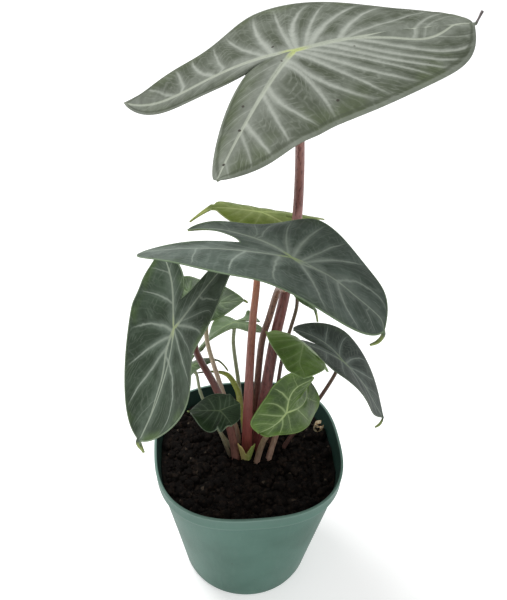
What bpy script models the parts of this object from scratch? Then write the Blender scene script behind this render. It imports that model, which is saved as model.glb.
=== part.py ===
"""A potted alocasia: a clump of shield-shaped leaves on slim stalks, in a thin plastic nursery pot.

The pot stands on the XY plane with the middle of its foot at the origin, and the plant grows along +Z.
Sizes and places are in millimetres. MM turns them into metres where a mesh or curve is made.
"""
from dataclasses import dataclass
import math

import bmesh
import bpy
from mathutils import Vector
import numpy as np

MM = 0.001

# The pot is round at its foot and square with round corners at its rim.
POT_HEIGHT = 90.4
FOOT_RADIUS = 37.2
FOOT_ROUNDING = 1.5
RIM_HALF = 53.0
RIM_EXPONENT = 2.63
BAND_HEIGHT = 9.0
BAND_STEP = 0.8
LIP_HEIGHT = 1.3
LIP_REACH = 0.5
EDGE_ROUNDING = 0.4
WALL = 1.1
FLOOR = 1.6
POT_TURN = math.radians(6.75)
POT_SEGMENTS = 48
WALL_LEVELS = (0.2, 0.4, 0.6, 0.8, 1)
DRAIN_HOLES = 6
DRAIN_RADIUS = 4.0
DRAIN_CIRCLE = 24.0
DRAIN_CUTTER = (-1, 3)

# The soil fills the pot to below its rim, and each stalk stands in a blind hole in it.
SOIL_TOP = 80.0
SOIL_RELIEF = 0.9
SOIL_CALM_RADIUS = 30.0
GAP = 0.3
SOIL_GAP = 0.45
SOIL_RINGS = (1, 0.85, 0.7, 0.55, 0.4, 0.2)
HOLE_BOTTOM = 66.0
HOLE_TOP = 85.0
HOLE_CLEARANCE = 0.35

# Blades are one sheet thick and end a short way above the tops of their stalks.
BLADE_THICKNESS = 0.8
TAIL_END = 0.25
TAIL_RINGS = 3
CREASE_SOFTNESS = 0.12
ARCH_SHARE = 0.4
SIDE_BLEND = 4
MERGE_DISTANCE = 0.02
SIDES = {1: 0, -1: 1}
# Directions across a blade, in degrees from its midrib: beside the junction, how far they lean
# forwards by the apex, and beside a lobe's rib at its root and at its tip.
SIDE_ON = 93
APEX_LEAN = 38
LOBE_SQUARE = (72, 90)
# How fast a lobe's outer and notch edges leave the junction's width for the tip's: the shares of the
# root's and the tip's half width in the middle of their run.
OUTER_PULL = (0.35, 0.9)
INNER_PULL = (0.35, 0.8)
MARGIN_WAVES = 1.1
# The outer edge is eased over this share of the blade where the front half turns into a lobe.
EDGE_EASE = 0.14
EASE_STEPS = 3


@dataclass
class Leaf:
    """One blade, described from its junction, where the stalk meets it and its main veins part.

    Pairs hold the left side and then the right side, seen from above with the apex ahead.
    Sizes are in millimetres and angles in degrees. The drip tip runs on from the apex: its
    bend and its end are places relative to the apex, along the world's axes, and tip is its half
    width where it leaves the apex.
    """
    number: int
    at: tuple
    heading: float
    nod: float
    roll: float
    length: float
    lobes: tuple
    spread: tuple
    shoulder: tuple
    outer: tuple
    inner: tuple
    notch: float
    sag: tuple
    taper: tuple = (1.8, 1.8)
    fold: float = -0.1
    arch: float = 0.0
    sweep: float = 0.0
    hook: tuple = (0, 0)
    rim: float = 0.1
    tip: float = 0.5
    wave: tuple = (0, 0)
    phase: tuple = (0, 0)
    tail: tuple = ((0, 0, 0), (1, 0, 0))
    mesh: tuple = (7, 6, 2, 1)


LEAVES = [
    Leaf(1, at=(15, 5, 315), heading=19.5, nod=8.5, roll=8.5, length=82, lobes=(90, 68), spread=(12, 39),
         shoulder=(48, 43), taper=(3, 2.3), outer=(4, 19), inner=(1.5, 8), notch=21.5,
         sag=(0.09, 0.7, 0.38), fold=-0.34, arch=-0.12, sweep=-0.02, hook=(31, 3.5), rim=2.3, tip=0.8,
         wave=(1.7, -1.8), phase=(30, 105), tail=((1, 1, 1), (3, 2.7, 4.5)), mesh=(14, 12, 4, 2)),
    Leaf(2, at=(17, -24, 234), heading=-27.5, nod=-3.2, roll=-9.4, length=48.2, lobes=(60.3, 69.9),
         spread=(38.1, 26.1), shoulder=(35.7, 33.2), taper=(2, 2.6), outer=(2.1, 18), inner=(1.1, 8.5),
         notch=25.5, sag=(0.36, 0.22, 0.26), fold=0.21, arch=0.07, sweep=-0.04, hook=(-26.5, -14.8),
         rim=-0.7, tip=1.1, wave=(3, 0.6), phase=(117, -22), tail=((-0.5, -1.5, -4), (-5.5, -2.4, -6)),
         mesh=(11, 11, 4, 2)),
    Leaf(3, at=(4, 38, 220.5), heading=177.5, nod=7, roll=-12, length=25, lobes=(36, 35.5), spread=(18, 18),
         shoulder=(9.5, 18.5), outer=(7.5, 5.5), inner=(6, 5), notch=22, sag=(-0.03, 0.07, 0.02),
         fold=-0.74, arch=0.09, sweep=0.09, tip=1.9, tail=((-6, -0.5, -3.5), (-11.8, -1.3, -8)),
         mesh=(7, 6, 3, 2)),
    Leaf(4, at=(-36.7, -18.4, 188), heading=-113.1, nod=-73.2, roll=30.3, length=61.4, lobes=(45.4, 39.2),
         spread=(42.4, 21.1), shoulder=(31.1, 29.1), taper=(2.2, 2.9), outer=(9.8, 8.3), inner=(6.1, 5.3),
         notch=15.3, sag=(-0.17, 0.6, 0.36), fold=0.14, arch=-0.1, sweep=-0.06, hook=(-26.4, 16.4),
         rim=-0.6, tip=2.2, wave=(2, -0.5), phase=(103, -158), tail=((0.8, -0.5, -3.5), (1.8, -1, -7.5)),
         mesh=(12, 8, 4, 2)),
    Leaf(5, at=(50, 8.3, 147.4), heading=-11, nod=-42.6, roll=-7.1, length=49.4, lobes=(31, 32.7),
         spread=(23.9, 18.1), shoulder=(22.3, 18), taper=(1.5, 1.6), outer=(9, 7.4), inner=(4, 5.5),
         notch=12, sag=(0.32, 0.35, 0.18), fold=0.29, sweep=0.22, hook=(-16, 0), rim=1.2, tip=1.1,
         wave=(0, 0.7), phase=(0, 7), tail=((-0.8, -1, -4), (-4, -1.3, -7)), mesh=(10, 7, 3, 2)),
    Leaf(6, at=(25.5, -15.8, 178.8), heading=128.2, nod=7.1, roll=25.7, length=19, lobes=(23, 17.1),
         spread=(21.7, 30.2), shoulder=(14.5, 17.3), taper=(1.5, 1.8), outer=(7.5, 9.2), inner=(8.2, 7),
         notch=11.5, sag=(0.35, -0.11, 0.2), fold=-0.43, arch=0.07, sweep=0.17, hook=(15.5, -2.2),
         rim=-1, wave=(-0.2, -0.5), phase=(20, 66), tail=((-0.4, 0.2, 0.1), (-0.8, 0.5, 0.2))),
    Leaf(7, at=(19.5, -23, 138.7), heading=-136.4, nod=-31.9, roll=-75.3, length=16.7, lobes=(23.1, 22),
         spread=(26, 30), shoulder=(17.4, 16.1), taper=(1.3, 2.9), outer=(25.1, 12.5), inner=(3, 3),
         notch=10.5, sag=(0.17, 0.5, -0.29), fold=-0.09, arch=0.03, sweep=-0.2, hook=(-14, -18),
         rim=-1.2, wave=(-2, -0.9), phase=(-107, 71), tail=((-0.2, 0, -0.2), (-0.5, 0, -0.5))),
    Leaf(8, at=(-14.5, -24, 140), heading=173, nod=-4, roll=-1, length=16, lobes=(11, 12), spread=(42, 42),
         shoulder=(13, 13.5), taper=(1.6, 1.6), outer=(5.5, 5.5), inner=(4.5, 3), notch=10.5,
         sag=(0.14, 0.2, 0.2), fold=-0.05, sweep=-0.04, hook=(6, 0), wave=(-3, 0.8), phase=(-5, -35),
         tail=((-0.5, 0, 0), (-1.2, 0, 0))),
    Leaf(9, at=(-25, 16, 178), heading=-13, nod=9, roll=24, length=21.5, lobes=(26.5, 25), spread=(33, 31),
         shoulder=(13, 11), taper=(1.5, 1.7), outer=(6.5, 6.5), inner=(4, 3.5), notch=8.5,
         sag=(0.01, 0.18, 0.19), arch=-0.04, sweep=0.13, wave=(0.7, -0.9), phase=(0, -20),
         tail=((1, 0, -0.5), (2, 0, -1.5))),
    Leaf(10, at=(-10.5, 30, 154.5), heading=-174.5, nod=-23, roll=11, length=30, lobes=(17.5, 14.5),
         spread=(20, 21), shoulder=(5.5, 8), outer=(5.5, 4), inner=(5.5, 1.5), notch=3,
         sag=(0.39, 0.38, 0.42), arch=0.05, sweep=0.04, hook=(14.5, -18), wave=(-0.2, 4.6), phase=(-40, -5),
         tail=((-1, 0, -0.5), (-1.5, 0, -1.5))),
    Leaf(11, at=(-32.5, 20, 131), heading=31, nod=17, roll=-17, length=14.5, lobes=(12, 12), spread=(25, 25),
         shoulder=(9.5, 5), outer=(2.5, 2.5), inner=(1.5, 1.5), notch=4, sag=(0.33, 0.2, 0.2),
         arch=0.13, sweep=-0.06, tail=((3, 0, -2), (6, -0.8, -7)), mesh=(6, 4, 2, 1)),
    Leaf(12, at=(24.5, 5, 197.5), heading=-26, nod=-42, roll=-3, length=14, lobes=(8, 8), spread=(35, 35),
         shoulder=(4.5, 6.5), outer=(2.5, 2.5), inner=(1.5, 1.5), notch=3, sag=(0.19, 0.2, 0.2),
         fold=-0.2, arch=0.1, tip=1.2, wave=(1.4, -0.4), tail=((1, 0, -3), (1.5, -1, -6)),
         mesh=(6, 4, 2, 1)),
]


@dataclass
class Stalk:
    """A leaf stalk: its foot in the soil, the points it passes on the way up, and its two radii.

    It meets its blade head on over the approach, and ends the clearance below it.
    """
    number: int
    foot: tuple
    through: list
    radii: tuple
    colour: str
    approach: float = 8.0
    clearance: float = 0.7


STALK_COLOURS = {
    "maroon": (0.075, 0.020, 0.024),
    "rose": (0.270, 0.070, 0.066),
    "mottled": (0.110, 0.045, 0.040),
    "pale": (0.250, 0.230, 0.150),
    "brown": (0.080, 0.040, 0.036),
}
STALK_STEP = 4.0  # radii from one point of a stalk's path to the next
STALK_TAPER = 0.8

STALKS = [
    Stalk(1, (6, 7), [(6.5, 9, 97), (8.5, 12, 114), (13, 15, 155.5), (17.5, 17, 187), (21, 18.5, 226.5),
                      (20, 14, 269)], (3.7, 1.9), "maroon", approach=20),
    Stalk(2, (2.5, 14.5), [(4, 18.5, 108), (6, 18, 149.5), (9.5, 12, 173), (13, 1, 198.5)], (2.1, 1.6),
          "mottled", approach=14),
    Stalk(3, (-0.5, 2), [(-0.5, 4.5, 107), (0, 9, 139), (1, 14, 169.5), (2.5, 19, 190)], (3.3, 1.4), "rose",
          clearance=1.1),
    Stalk(4, (-6.6, -1.5), [(-10, -0.5, 103.5), (-17.5, 1, 131), (-27.5, -4, 161.5)], (2.6, 1.5), "maroon",
          approach=10),
    Stalk(5, (21, 8), [(31, 12, 98.5), (40.5, 15, 115), (47, 12.5, 135)], (1.4, 1.0), "brown", approach=5),
    Stalk(6, (12, -1.8), [(16.5, 4, 97), (24, 9, 122), (27, 7, 142), (27, -3, 160)], (1.8, 1.2), "pale"),
    Stalk(7, (5.2, -4.5), [(8.3, -4.5, 97), (13, -14, 120)], (1.9, 1.2), "pale", clearance=0.9),
    Stalk(8, (-10.3, 0.5), [(-13.2, -6, 99), (-15, -16, 118)], (1.2, 0.9), "pale"),
    Stalk(9, (-5.6, 10.5), [(-7, 11, 92), (-15, 14, 118), (-23.5, 17, 152)], (1.6, 1.1), "pale"),
    Stalk(10, (-2.5, 17), [(-4.5, 21, 101), (-6.5, 25.5, 116), (-9.5, 29, 139)], (1.5, 1.0), "pale",
          approach=2),
    Stalk(11, (-10, 7.5), [(-17, 10, 91), (-27, 16, 112)], (1.2, 0.8), "pale", approach=6),
    Stalk(12, (12.5, 11), [(16, 10, 132.5), (17.5, 10, 148), (20, 8, 166), (22.8, 6, 184)], (1.2, 0.9),
          "brown", approach=2),
]

SPEAR_FOOT = (-1, 9.5)
SPEAR_PATH = [(-3, 12, 98), (-5, 14, 107.5), (-6.5, 17, 115.5), (-11, 20, 123), (-15, 22, 124.5),
              (-20, 24, 123.5), (-24.5, 25, 122.5), (-32, 26, 120)]
SPEAR_STEP = 3.2
SPEAR_RADII = (1.6, 1.7, 0.35)

SHEATH_CENTRE = (-0.8, -2.4)
SHEATH_LEVELS = (78.2, 95.5)
SHEATH_RADII = (2.3, 5.4)
SHEATH_NOTCH = 7.0
SHEATH_HALF_ANGLE = math.radians(78)
SHEATH_WALL = 0.8
SHEATH_SPLIT = 0.6  # share of the sheath's half angle that its notch takes
SHEATH_STEPS = (14, 5)

WITHERED_AT = (42.4, 22.5, 83.9)
WITHERED_RADII = (2.2, 3.4)
WITHERED_WIDTHS = (2.5, 5.5)
WITHERED_TURN = math.radians(285)
WITHERED_WALL = 0.7
WITHERED_SKEW = 0.25
WITHERED_STEPS = 16


def clear_scene():
    """Start from an empty scene."""
    for item in list(bpy.data.objects):
        bpy.data.objects.remove(item, do_unlink=True)


def material(name, colour, roughness):
    """A plain surface of one colour."""
    made = bpy.data.materials.new(name)
    made.use_nodes = True
    shader = made.node_tree.nodes["Principled BSDF"]
    shader.inputs["Base Color"].default_value = (*colour, 1)
    shader.inputs["Roughness"].default_value = roughness
    made.diffuse_color = (*colour, 1)
    return made


def add_object(name, data, surface):
    """Link a mesh or curve to the scene as a named object with one material."""
    item = bpy.data.objects.new(name, data)
    bpy.context.scene.collection.objects.link(item)
    data.materials.append(surface)
    return item


def mesh_from(name, form):
    """Close a bmesh into a smooth-shaded mesh."""
    data = bpy.data.meshes.new(name)
    form.to_mesh(data)
    form.free()
    data.shade_smooth()
    return data


# Pot

def rim_reach(angle, half):
    """Distance from the axis to a rounded square of the given half width, along an angle."""
    turned = angle - POT_TURN
    corner = abs(math.cos(turned)) ** RIM_EXPONENT + abs(math.sin(turned)) ** RIM_EXPONENT
    return half / corner ** (1 / RIM_EXPONENT)


def wall_reach(angle, height, inset=0.0):
    """Distance from the axis to the body's outer wall, less an inset: a straight loft from foot to band."""
    share = height / (POT_HEIGHT - BAND_HEIGHT)
    top = rim_reach(angle, RIM_HALF - LIP_REACH - 2 * BAND_STEP)
    return FOOT_RADIUS + (top - FOOT_RADIUS) * share - inset


def pot_profile(angle):
    """The wall's section at one angle, from the foot's edge up the outside and down the inside."""
    band_foot = POT_HEIGHT - BAND_HEIGHT
    lip_foot = POT_HEIGHT - LIP_HEIGHT
    lip = rim_reach(angle, RIM_HALF)
    band = lip - LIP_REACH
    inner = band - WALL
    return [
        (FOOT_RADIUS - FOOT_ROUNDING, 0),
        (FOOT_RADIUS - FOOT_ROUNDING * 0.3, FOOT_ROUNDING * 0.3),
        (wall_reach(angle, FOOT_ROUNDING), FOOT_ROUNDING),
        *[(wall_reach(angle, share * band_foot), share * band_foot) for share in WALL_LEVELS],
        (band - 0.6 * BAND_STEP, band_foot + BAND_STEP),
        (band, lip_foot - EDGE_ROUNDING),
        (lip, lip_foot),
        (lip, POT_HEIGHT - EDGE_ROUNDING),
        (lip - EDGE_ROUNDING, POT_HEIGHT),
        (inner + EDGE_ROUNDING, POT_HEIGHT),
        (inner, POT_HEIGHT - EDGE_ROUNDING),
        *[(wall_reach(angle, share * band_foot, WALL), share * band_foot) for share in WALL_LEVELS[::-1]],
        (wall_reach(angle, FLOOR, WALL), FLOOR),
    ]


def lofted_solid(name, section, surface):
    """Turn a section that varies with the angle into a closed solid, with flat discs at both of its ends."""
    form = bmesh.new()
    rings = []
    for step in range(POT_SEGMENTS):
        angle = math.tau * step / POT_SEGMENTS
        ways = [(r * math.cos(angle) * MM, r * math.sin(angle) * MM, z * MM) for r, z in section(angle)]
        rings.append([form.verts.new(way) for way in ways])
    for step in range(POT_SEGMENTS):
        here = rings[step]
        ahead = rings[(step + 1) % POT_SEGMENTS]
        for level in range(len(here) - 1):
            form.faces.new((here[level], ahead[level], ahead[level + 1], here[level + 1]))
    for level, order in ((0, -1), (-1, 1)):
        form.faces.new([ring[level] for ring in rings][::order])
    return add_object(name, mesh_from(name, form), surface)


def cylinder_cutter(name, centre, radius, levels, sides=12):
    """A hidden upright cylinder that cuts a round hole between two levels."""
    low, high = levels
    form = bmesh.new()
    bmesh.ops.create_cone(form, cap_ends=True, segments=sides, radius1=radius * MM, radius2=radius * MM,
                          depth=(high - low) * MM)
    data = bpy.data.meshes.new(name)
    form.to_mesh(data)
    form.free()
    cutter = bpy.data.objects.new(name, data)
    cutter.location = (centre[0] * MM, centre[1] * MM, (low + high) / 2 * MM)
    cutter.hide_render = True
    cutter.display_type = "WIRE"
    bpy.context.scene.collection.objects.link(cutter)
    return cutter


def cut(item, cutter):
    """Cut a hidden shape out of a solid."""
    step = item.modifiers.new(cutter.name, "BOOLEAN")
    step.operation = "DIFFERENCE"
    step.object = cutter


def make_pot():
    """The thin-walled pot, with a ring of drain holes in its floor."""
    pot = lofted_solid("pot", pot_profile, material("pot_plastic", (0.088, 0.235, 0.190), 0.5))
    for index in range(DRAIN_HOLES):
        angle = math.tau * index / DRAIN_HOLES
        centre = (DRAIN_CIRCLE * math.cos(angle), DRAIN_CIRCLE * math.sin(angle))
        cut(pot, cylinder_cutter(f"drain_cutter_{index + 1}", centre, DRAIN_RADIUS, DRAIN_CUTTER, 16))


# Soil

def soil_height(x, y):
    """Height of the peat's uneven top, calmer where the stalks stand."""
    bumps = math.sin(0.31 * x + 1.0) * math.cos(0.27 * y) + 0.6 * math.sin(0.17 * x - 0.36 * y + 2.0)
    calm = min(1.0, (math.hypot(x - 2, y - 4) / SOIL_CALM_RADIUS) ** 3)
    return SOIL_TOP + SOIL_RELIEF * bumps * calm


def soil_profile(angle):
    """The root ball's section: up the inside of the pot's wall, then in over the top to near its middle."""
    edge = wall_reach(angle, SOIL_TOP, WALL + SOIL_GAP)
    section = [(wall_reach(angle, FLOOR + GAP, WALL + SOIL_GAP), FLOOR + GAP)]
    for share in WALL_LEVELS[:-1]:
        height = share * (POT_HEIGHT - BAND_HEIGHT)
        section.append((wall_reach(angle, height, WALL + SOIL_GAP), height))
    for share in SOIL_RINGS:
        reach = edge * share
        section.append((reach, soil_height(reach * math.cos(angle), reach * math.sin(angle))))
    return section


def make_soil():
    """The peat, with a blind hole for each stalk."""
    soil = lofted_solid("soil", soil_profile, material("peat", (0.012, 0.010, 0.009), 0.95))
    deep = (HOLE_BOTTOM, HOLE_TOP)
    shallow = (SHEATH_LEVELS[0] - GAP, HOLE_TOP)
    holes = [(f"{stalk.number:02d}", stalk.foot, stalk.radii[0] + HOLE_CLEARANCE, deep) for stalk in STALKS]
    holes.append(("spear", SPEAR_FOOT, SPEAR_RADII[0] + HOLE_CLEARANCE, deep))
    holes.append(("sheath", SHEATH_CENTRE, SHEATH_RADII[0] + 2 * HOLE_CLEARANCE, shallow))
    for name, foot, radius, levels in holes:
        cut(soil, cylinder_cutter(f"hole_cutter_{name}", foot, radius, levels))


# Blades

def sharp_plan(leaf, side, along, across):
    """A point of a blade's flat outline, with a corner beside the junction.

    along runs from -1 at a lobe's tip over 0 at the junction to 1 at the apex, and on to 2 where the
    drip tip ends. across is 0 on the midrib or the lobe's rib, 1 on the outer edge and -1 on the edge
    at the notch.
    """
    pick = SIDES[side]
    ahead = np.clip(along, 0, 1)
    back = np.clip(-along, 0, 1)
    beyond = np.clip(along - 1, 0, 1)
    rib = np.pi - np.radians(leaf.spread[pick] + leaf.hook[pick] * back)
    x = leaf.length * ahead + leaf.lobes[pick] * back * np.cos(rib)
    y = leaf.lobes[pick] * back * np.sin(rib)
    blunt = np.sqrt(1 - back**3)
    keep, swap, end = (1 - back) ** 2, 2 * back * (1 - back), back**2
    shoulder, outer, inner = leaf.shoulder[pick], leaf.outer[pick], leaf.inner[pick]
    front = shoulder * (1 - np.maximum(ahead, 1e-6) ** leaf.taper[pick])
    front = np.maximum(front, TAIL_END + (leaf.tip - TAIL_END) * (1 - beyond))
    outer_pull = OUTER_PULL[0] * shoulder + OUTER_PULL[1] * outer
    inner_pull = INNER_PULL[0] * leaf.notch + INNER_PULL[1] * inner
    rear = (keep * shoulder + swap * outer_pull + end * outer) * blunt
    notch = (keep * leaf.notch + swap * inner_pull + end * inner) * blunt
    side_on = np.radians(SIDE_ON)
    lean_front = side_on - np.radians(APEX_LEAN) * ahead
    run = rib - np.arctan(np.radians(leaf.hook[pick]) * back)
    root_square, tip_square = np.radians(LOBE_SQUARE)
    square = root_square + (tip_square - root_square) * back**4
    lean_rear = side_on * (1 - back) + (run - square) * back
    lean_notch = np.pi * (1 - back) + (run + square) * back
    outward = across >= 0
    lean_out = np.where(along >= 0, lean_front, lean_rear)
    width = np.where(outward, across * np.where(along >= 0, front, rear), -across * notch)
    lean = np.where(outward, lean_out, lean_notch)
    x = x + width * np.cos(lean)
    y = y + width * np.sin(lean) + side * leaf.sweep * np.clip(x, 0, None) ** 2 / leaf.length
    return x, y * side


def blade_plan(leaf, side, along, across):
    """A point of a blade's flat outline, eased beside the junction by a weighted mean along the edge."""
    reach = EDGE_EASE * np.clip(across, 0, 1) ** 2 * np.clip(1 - along**2, 0, 1)
    x, y = 0.0, 0.0
    for step in range(-EASE_STEPS, EASE_STEPS + 1):
        weight = (EASE_STEPS + 1 - abs(step)) / (EASE_STEPS + 1) ** 2
        near_x, near_y = sharp_plan(leaf, side, along + reach * step / EASE_STEPS, across)
        x = x + weight * near_x
        y = y + weight * near_y
    return x, y


def blade_height(leaf, side, x, y, along, across):
    """Height of a blade over its own plane: it sags, folds at the midrib, arches and waves at its edge."""
    pick = SIDES[side]
    middle, left, right = leaf.sag
    lobe = sum(leaf.lobes) / 2
    blend = np.tanh(SIDE_BLEND * y / leaf.length)
    rear_sag = (left + right) / 2 + (left - right) / 2 * blend
    z = -middle * np.clip(x, 0, None) ** 2 / leaf.length - rear_sag * np.clip(-x, 0, None) ** 2 / lobe
    reach = np.abs(y)
    soft = CREASE_SOFTNESS * leaf.length
    z = z + leaf.fold * (reach - soft * (1 - np.exp(-reach / soft)))
    z = z - leaf.arch * reach**2 / (ARCH_SHARE * leaf.length)
    edge = np.sqrt(1 - np.clip(along, -1, 1) ** 4)
    z = z - leaf.rim * across**4 * edge
    wave = across**2 * np.sin(MARGIN_WAVES * math.tau * along + np.radians(leaf.phase[pick])) * edge
    return z + np.where(across > 0, leaf.wave[pick] * wave, 0)


def place_blade(leaf, x, y, z):
    """Turn points of a blade's own frame by its roll, nod and heading, and move them to its junction."""
    heading, nod, roll = np.radians([leaf.heading, leaf.nod, leaf.roll])
    y, z = y * np.cos(roll) - z * np.sin(roll), y * np.sin(roll) + z * np.cos(roll)
    x, z = x * np.cos(nod) - z * np.sin(nod), x * np.sin(nod) + z * np.cos(nod)
    x, y = x * np.cos(heading) - y * np.sin(heading), x * np.sin(heading) + y * np.cos(heading)
    return np.stack([x, y, z], -1) + np.array(leaf.at)


def blade_points(leaf, side, along, across):
    """World points of a blade's upper face, in millimetres."""
    along, across = np.meshgrid(along, across, indexing="ij")
    x, y = blade_plan(leaf, side, along, across)
    points = place_blade(leaf, x, y, blade_height(leaf, side, x, y, along, across))
    beyond = np.clip(along - 1, 0, 1)[..., None]
    bend, end = np.array(leaf.tail)
    return points + 2 * beyond * (1 - beyond) * bend + beyond**2 * end


def blade_normal(leaf):
    """The upward direction of a blade at its junction."""
    flat = place_blade(leaf, np.zeros(2), np.zeros(2), np.array([0.0, 1.0]))
    return flat[1] - flat[0]


def add_grid(form, points, side):
    """Add a grid of points as faces that look up."""
    rows = [[form.verts.new(Vector(point) * MM) for point in row] for row in points]
    for low, high in zip(rows, rows[1:]):
        for j in range(len(low) - 1):
            corners = (low[j], high[j], high[j + 1], low[j + 1])
            form.faces.new(corners[::side])


def make_blade(leaf, surface):
    """One blade: its upper face as a net of triangles, thickened downwards."""
    fore, aft, outward, inward = leaf.mesh
    apex = np.sin(np.linspace(0, np.pi / 2, fore + 1))
    tail = 1 + np.arange(1, TAIL_RINGS + 1) / TAIL_RINGS
    tip = -np.sin(np.linspace(np.pi / 2, 0, aft + 1))
    outer = np.linspace(0, 1, outward + 1)
    inner = np.linspace(-1, 0, inward + 1)
    form = bmesh.new()
    for side in (1, -1):
        add_grid(form, blade_points(leaf, side, np.concatenate([apex, tail]), outer), side)
        add_grid(form, blade_points(leaf, side, tip, outer), side)
        add_grid(form, blade_points(leaf, side, tip, inner), side)
    bmesh.ops.remove_doubles(form, verts=form.verts[:], dist=MERGE_DISTANCE * MM)
    bmesh.ops.triangulate(form, faces=form.faces[:])
    name = f"leaf_{leaf.number:02d}_blade"
    blade = add_object(name, mesh_from(name, form), surface)
    thick = blade.modifiers.new("thickness", "SOLIDIFY")
    thick.thickness = BLADE_THICKNESS * MM
    return blade


# Stalks

def smooth_path(points, step):
    """Points about one step apart along a smooth curve through the given ones."""
    points = np.array(points, float)
    before = 2 * points[0] - points[1]
    after = 2 * points[-1] - points[-2]
    padded = np.vstack([before, points, after])
    path = []
    for a, b, c, d in zip(padded, padded[1:], padded[2:], padded[3:]):
        pieces = max(1, round(np.linalg.norm(c - b) / step))
        for t in np.arange(pieces) / pieces:
            path.append(0.5 * (2 * b + (c - a) * t + (2 * a - 5 * b + 4 * c - d) * t**2
                               + (3 * b - a - 3 * c + d) * t**3))
    path.append(points[-1])
    return np.array(path)


def rooted_path(foot, points, step):
    """A smooth path that starts upright in its hole in the soil."""
    rise = smooth_path([(*foot, SOIL_TOP + 0.5), *points], step)
    return np.vstack([(*foot, HOLE_BOTTOM + GAP), rise])


def round_rod(name, path, radii, surface):
    """A round rod along a path, with a radius for each of its points."""
    data = bpy.data.curves.new(name, "CURVE")
    data.dimensions = "3D"
    data.bevel_depth = MM
    data.bevel_resolution = 2
    data.use_fill_caps = True
    spline = data.splines.new("POLY")
    spline.points.add(len(path) - 1)
    for point, place, radius in zip(spline.points, path, radii):
        point.co = (*(place * MM), 1)
        point.radius = radius
    return add_object(name, data, surface)


def make_stalk(stalk, leaf, surface):
    """A leaf stalk, upright in its hole and square to the blade where it meets it."""
    normal = blade_normal(leaf)
    top = np.array(leaf.at) - normal * (BLADE_THICKNESS + stalk.clearance)
    thick, thin = stalk.radii
    path = rooted_path(stalk.foot, [*stalk.through, top - normal * stalk.approach, top], STALK_STEP * thick)
    share = np.linspace(0, 1, len(path))
    radii = thick + (thin - thick) * share**STALK_TAPER
    round_rod(f"leaf_{stalk.number:02d}_petiole", path, radii, surface)


def make_spear():
    """The rolled new leaf: a slim tube that arches over and runs out into a thin drip tip."""
    path = rooted_path(SPEAR_FOOT, SPEAR_PATH, SPEAR_STEP)
    share = np.linspace(0, 1, len(path))
    foot, middle, tip = SPEAR_RADII
    radii = np.interp(share, [0, 0.6, 0.72, 0.82, 1], [foot, middle, 0.8 * middle, 2 * tip, tip])
    round_rod("new_leaf_spear", path, radii, material("new_leaf", (0.33, 0.40, 0.08), 0.45))


# Small pieces at the foot of the plant

def make_sheath():
    """The cut foot of an old stalk: an open cup that flares upwards and is split down the front."""
    low, high = SHEATH_LEVELS
    turns = np.linspace(-SHEATH_HALF_ANGLE, SHEATH_HALF_ANGLE, SHEATH_STEPS[0] + 1)
    levels = np.linspace(0, 1, SHEATH_STEPS[1] + 1)
    rows = []
    for turn in turns:
        split = max(0.0, 1 - abs(turn) / (SHEATH_SPLIT * SHEATH_HALF_ANGLE))
        top = high - SHEATH_NOTCH * split
        column = []
        for level in levels:
            z = low + (top - low) * level
            share = (z - low) / (high - low)
            reach = SHEATH_RADII[0] + (SHEATH_RADII[1] - SHEATH_RADII[0]) * share
            x = SHEATH_CENTRE[0] + reach * math.sin(turn)
            y = SHEATH_CENTRE[1] - reach * math.cos(turn)
            column.append((x, y, z))
        rows.append(column)
    form = bmesh.new()
    add_grid(form, rows, 1)
    bmesh.ops.triangulate(form, faces=form.faces[:])
    surface = material("sheath", (0.30, 0.36, 0.10), 0.5)
    sheath = add_object("old_sheath", mesh_from("old_sheath", form), surface)
    thick = sheath.modifiers.new("thickness", "SOLIDIFY")
    thick.thickness = SHEATH_WALL * MM


def make_withered_leaf():
    """A small dried leaf, rolled into an open curl that lies on the soil."""
    centre = Vector(WITHERED_AT)
    narrow, wide = WITHERED_WIDTHS
    rows = []
    for share in np.linspace(0, 1, WITHERED_STEPS + 1):
        turn = WITHERED_TURN * share
        reach = WITHERED_RADII[0] + (WITHERED_RADII[1] - WITHERED_RADII[0]) * share
        half = (narrow + (wide - narrow) * math.sin(math.pi * share)) / 2
        spot = centre + Vector((reach * math.cos(turn), 0, -reach * math.sin(turn)))
        rows.append([spot + Vector((WITHERED_SKEW * w * half, w * half, 0)) for w in (-1, 0, 1)])
    form = bmesh.new()
    add_grid(form, rows, 1)
    bmesh.ops.triangulate(form, faces=form.faces[:])
    surface = material("dried", (0.16, 0.12, 0.06), 0.8)
    curl = add_object("withered_leaf", mesh_from("withered_leaf", form), surface)
    thick = curl.modifiers.new("thickness", "SOLIDIFY")
    thick.thickness = WITHERED_WALL * MM
    thick.offset = 0


def main():
    """Build the pot, its soil and the plant."""
    clear_scene()
    make_pot()
    make_soil()
    grey_green = material("blade_grey_green", (0.105, 0.150, 0.115), 0.45)
    dark_green = material("blade_dark_green", (0.040, 0.070, 0.052), 0.4)
    light_green = material("blade_light_green", (0.110, 0.220, 0.045), 0.4)
    surfaces = {1: grey_green, 2: dark_green, 4: grey_green, 5: dark_green, 8: dark_green}
    leaves = {leaf.number: leaf for leaf in LEAVES}
    for leaf in LEAVES:
        make_blade(leaf, surfaces.get(leaf.number, light_green))
    stalk_surfaces = {name: material(f"stalk_{name}", colour, 0.4) for name, colour in STALK_COLOURS.items()}
    for stalk in STALKS:
        make_stalk(stalk, leaves[stalk.number], stalk_surfaces[stalk.colour])
    make_spear()
    make_sheath()
    make_withered_leaf()


main()
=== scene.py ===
"""The look of a potted alocasia: veined leaves on slim stalks, in a thin nursery pot of dark peat.

Sizes and places are in millimetres, in the frame's own axes. MM turns them into metres where a mesh,
a light or the camera is made.
"""
from dataclasses import dataclass
import math

import bmesh
import bpy
from mathutils import Matrix, Vector, noise
import numpy as np


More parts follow.
